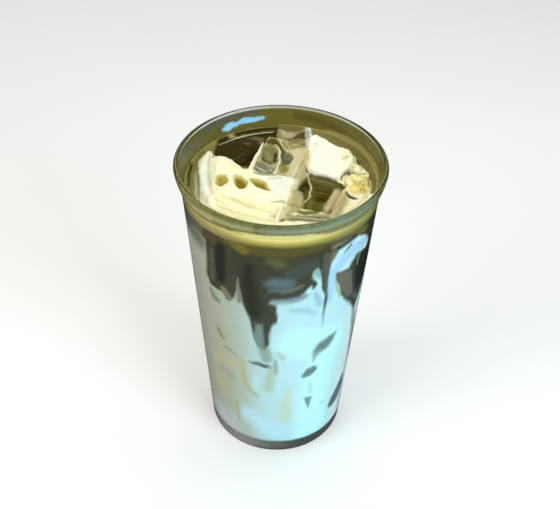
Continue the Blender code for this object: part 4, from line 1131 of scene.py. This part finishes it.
def make_film():
    segments = CONTENT_SEGMENTS
    low = FROTH_TOP + 0.0004
    high = GLASS_HEIGHT - 0.0009
    heights = np.linspace(low, high, 28)
    rings = [(inner_radius(z) - 0.00006, z) for z in heights]
    rings += [(inner_radius(z) + 0.0001, z) for z in reversed(heights)]
    vertices, faces = turned(rings, segments)
    last = (len(rings) - 1) * segments
    for step in range(segments):
        after = (step + 1) % segments
        faces.append((last + step, last + after, after, step))
    faces = [tuple(reversed(face)) for face in faces]
    points = vertices / MM
    degrees, height = wall_places(vertices)
    flat = np.stack([degrees * WALL_MM_PER_DEGREE, height], axis=1)
    flat += 0.3 * np.stack([noise(points, 3.0, 61), noise(points, 3.0, 62)], axis=1)
    flat += 0.25 * np.stack([noise(points, 1.1, 64), noise(points, 1.1, 65)], axis=1)
    colours = np.tile(linear((108, 102, 40)), (len(vertices), 1))
    colours *= 1.0 + 0.18 * layered_noise(points * (1.0, 1.0, 1.6), 5.0, 63)[:, None]
    paint(colours, flat, FILM_PATCHES, WALL_MM_PER_DEGREE)
    front = smoothstep((78.0 - np.abs(degrees)) / 20.0)
    cover = 0.93 - 0.18 * front
    return make_object("matcha_film", vertices, faces, film_material(), colours, {"cover": cover})


def sphere(rings, segments):
    """Vertices and faces of a unit sphere."""
    loops = []
    for ring in range(1, rings):
        angle = pi * ring / rings
        loops.append((sin(angle), -cos(angle)))
    return closed_turned(loops, -1.0, 1.0, segments)


def make_bubbles():
    draw = np.random.default_rng(7)
    unit, quads = sphere(7, 12)
    vertices = []
    faces = []
    colours = []
    count = 0
    clusters = ((30.7, -1.8, 3.2, 3.4, 60, 0.9), (31.0, 10.4, 2.4, 1.8, 16, 0.7), (35.0, -1.2, 1.0, 3.4, 18, 0.5))
    for x, y, wide, deep, number, largest in clusters:
        for _ in range(number):
            place = np.array((x + wide * draw.normal() * 0.55, y + deep * draw.normal() * 0.55))
            size = largest * draw.uniform(0.25, 1.0) ** 1.6
            if np.hypot(*place) > 37.4 - size:
                continue
            z, opened = froth_surface(place[:1], place[1:], np.zeros(1))
            if opened[0] > 0.2 or footprint("ice_cube_front_right", place[None])[0] < 0.5:
                continue
            centre = np.array((*place, z[0] / MM - size * 0.35))
            tone = linear((251, 242, 176)) * draw.uniform(0.88, 1.0)
            vertices.append((unit * size + centre) * MM)
            faces += [tuple(index + count for index in quad) for quad in quads]
            colours.append(np.tile(tone, (len(unit), 1)))
            count += len(unit)
    return make_object("froth_bubbles", np.concatenate(vertices), faces, bubble_material(), np.concatenate(colours))


# Studio

def make_floor():
    size = 3.0
    lip = 0.02
    vertices = [(-size, -size, 0), (size, -size, 0), (size, size, 0), (-size, size, 0)]
    vertices += [(x, y, -lip) for x, y, _ in vertices]
    faces = [(0, 1, 2, 3), (7, 6, 5, 4), (0, 4, 5, 1), (1, 5, 6, 2), (2, 6, 7, 3), (3, 7, 4, 0)]
    floor = make_object("floor", np.array(vertices, float) - np.array((0, 0, 0.0001)), faces, floor_material(), sharp=30)
    floor.visible_glossy = False


def add_light(name, place, target, size, power, colour):
    light = bpy.data.lights.new(name, "AREA")
    light.shape = "SQUARE"
    light.size = size
    light.energy = power
    light.color = colour
    obj = bpy.data.objects.new(name, light)
    bpy.context.scene.collection.objects.link(obj)
    obj.location = place
    obj.rotation_euler = (Vector(target) - Vector(place)).to_track_quat("-Z", "Y").to_euler()
    return obj


def add_camera():
    camera = bpy.data.cameras.new("camera")
    camera.sensor_width = 36.0
    camera.lens = 71.91
    obj = bpy.data.objects.new("camera", camera)
    bpy.context.scene.collection.objects.link(obj)
    obj.location = (0.00037, -0.37560, 0.40239)
    pitch = Euler((radians(90.0 - 39.299), 0.0, 0.0)).to_matrix()
    roll = Euler((0.0, 0.0, radians(1.297))).to_matrix()
    obj.rotation_euler = (pitch @ roll).to_euler()
    bpy.context.scene.camera = obj


def make_world():
    world = bpy.data.worlds.new("studio")
    world.use_nodes = True
    background = world.node_tree.nodes["Background"]
    background.inputs["Color"].default_value = (0.96, 0.98, 1.0, 1.0)
    background.inputs["Strength"].default_value = 0.22
    world.cycles_visibility.glossy = False
    bpy.context.scene.world = world


def make_studio():
    make_floor()
    make_world()
    top = add_light("soft_top", (0.05, 0.15, 0.95), (0, 0, 0.1), 0.9, 5.6, (1.0, 0.98, 0.93))
    key = add_light("cool_front_right", (0.55, -0.55, 0.45), (0, 0, 0.065), 0.5, 4.55, (0.82, 0.95, 1.0))
    fill = add_light("warm_front_left", (-0.6, -0.35, 0.5), (0, 0, 0.08), 0.5, 3.0, (1.0, 0.97, 0.9))
    for light in (top, key, fill):
        light.visible_glossy = False
    add_light("glint_back_left", (-0.4, 0.5, 0.6), (0, 0, 0.14), 0.14, 0.18, (0.9, 0.96, 1.0))
    add_camera()
    bpy.context.scene.view_settings.view_transform = "Standard"


def dress(piece, node):
    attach(piece, "root")
    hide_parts(node)


def main():
    dress(make_glass(), "glass")
    dress(make_milk(), "milk")
    dress(make_matcha(), "matcha")
    dress(make_froth(), "froth")
    grid = cube_grid()
    ice = ice_material()
    for name in ICE:
        dress(make_ice(name, grid, ice), name)
    film = make_film()
    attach(film, "root")
    bubbles = make_bubbles()
    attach(bubbles, "root")
    make_studio()


main()
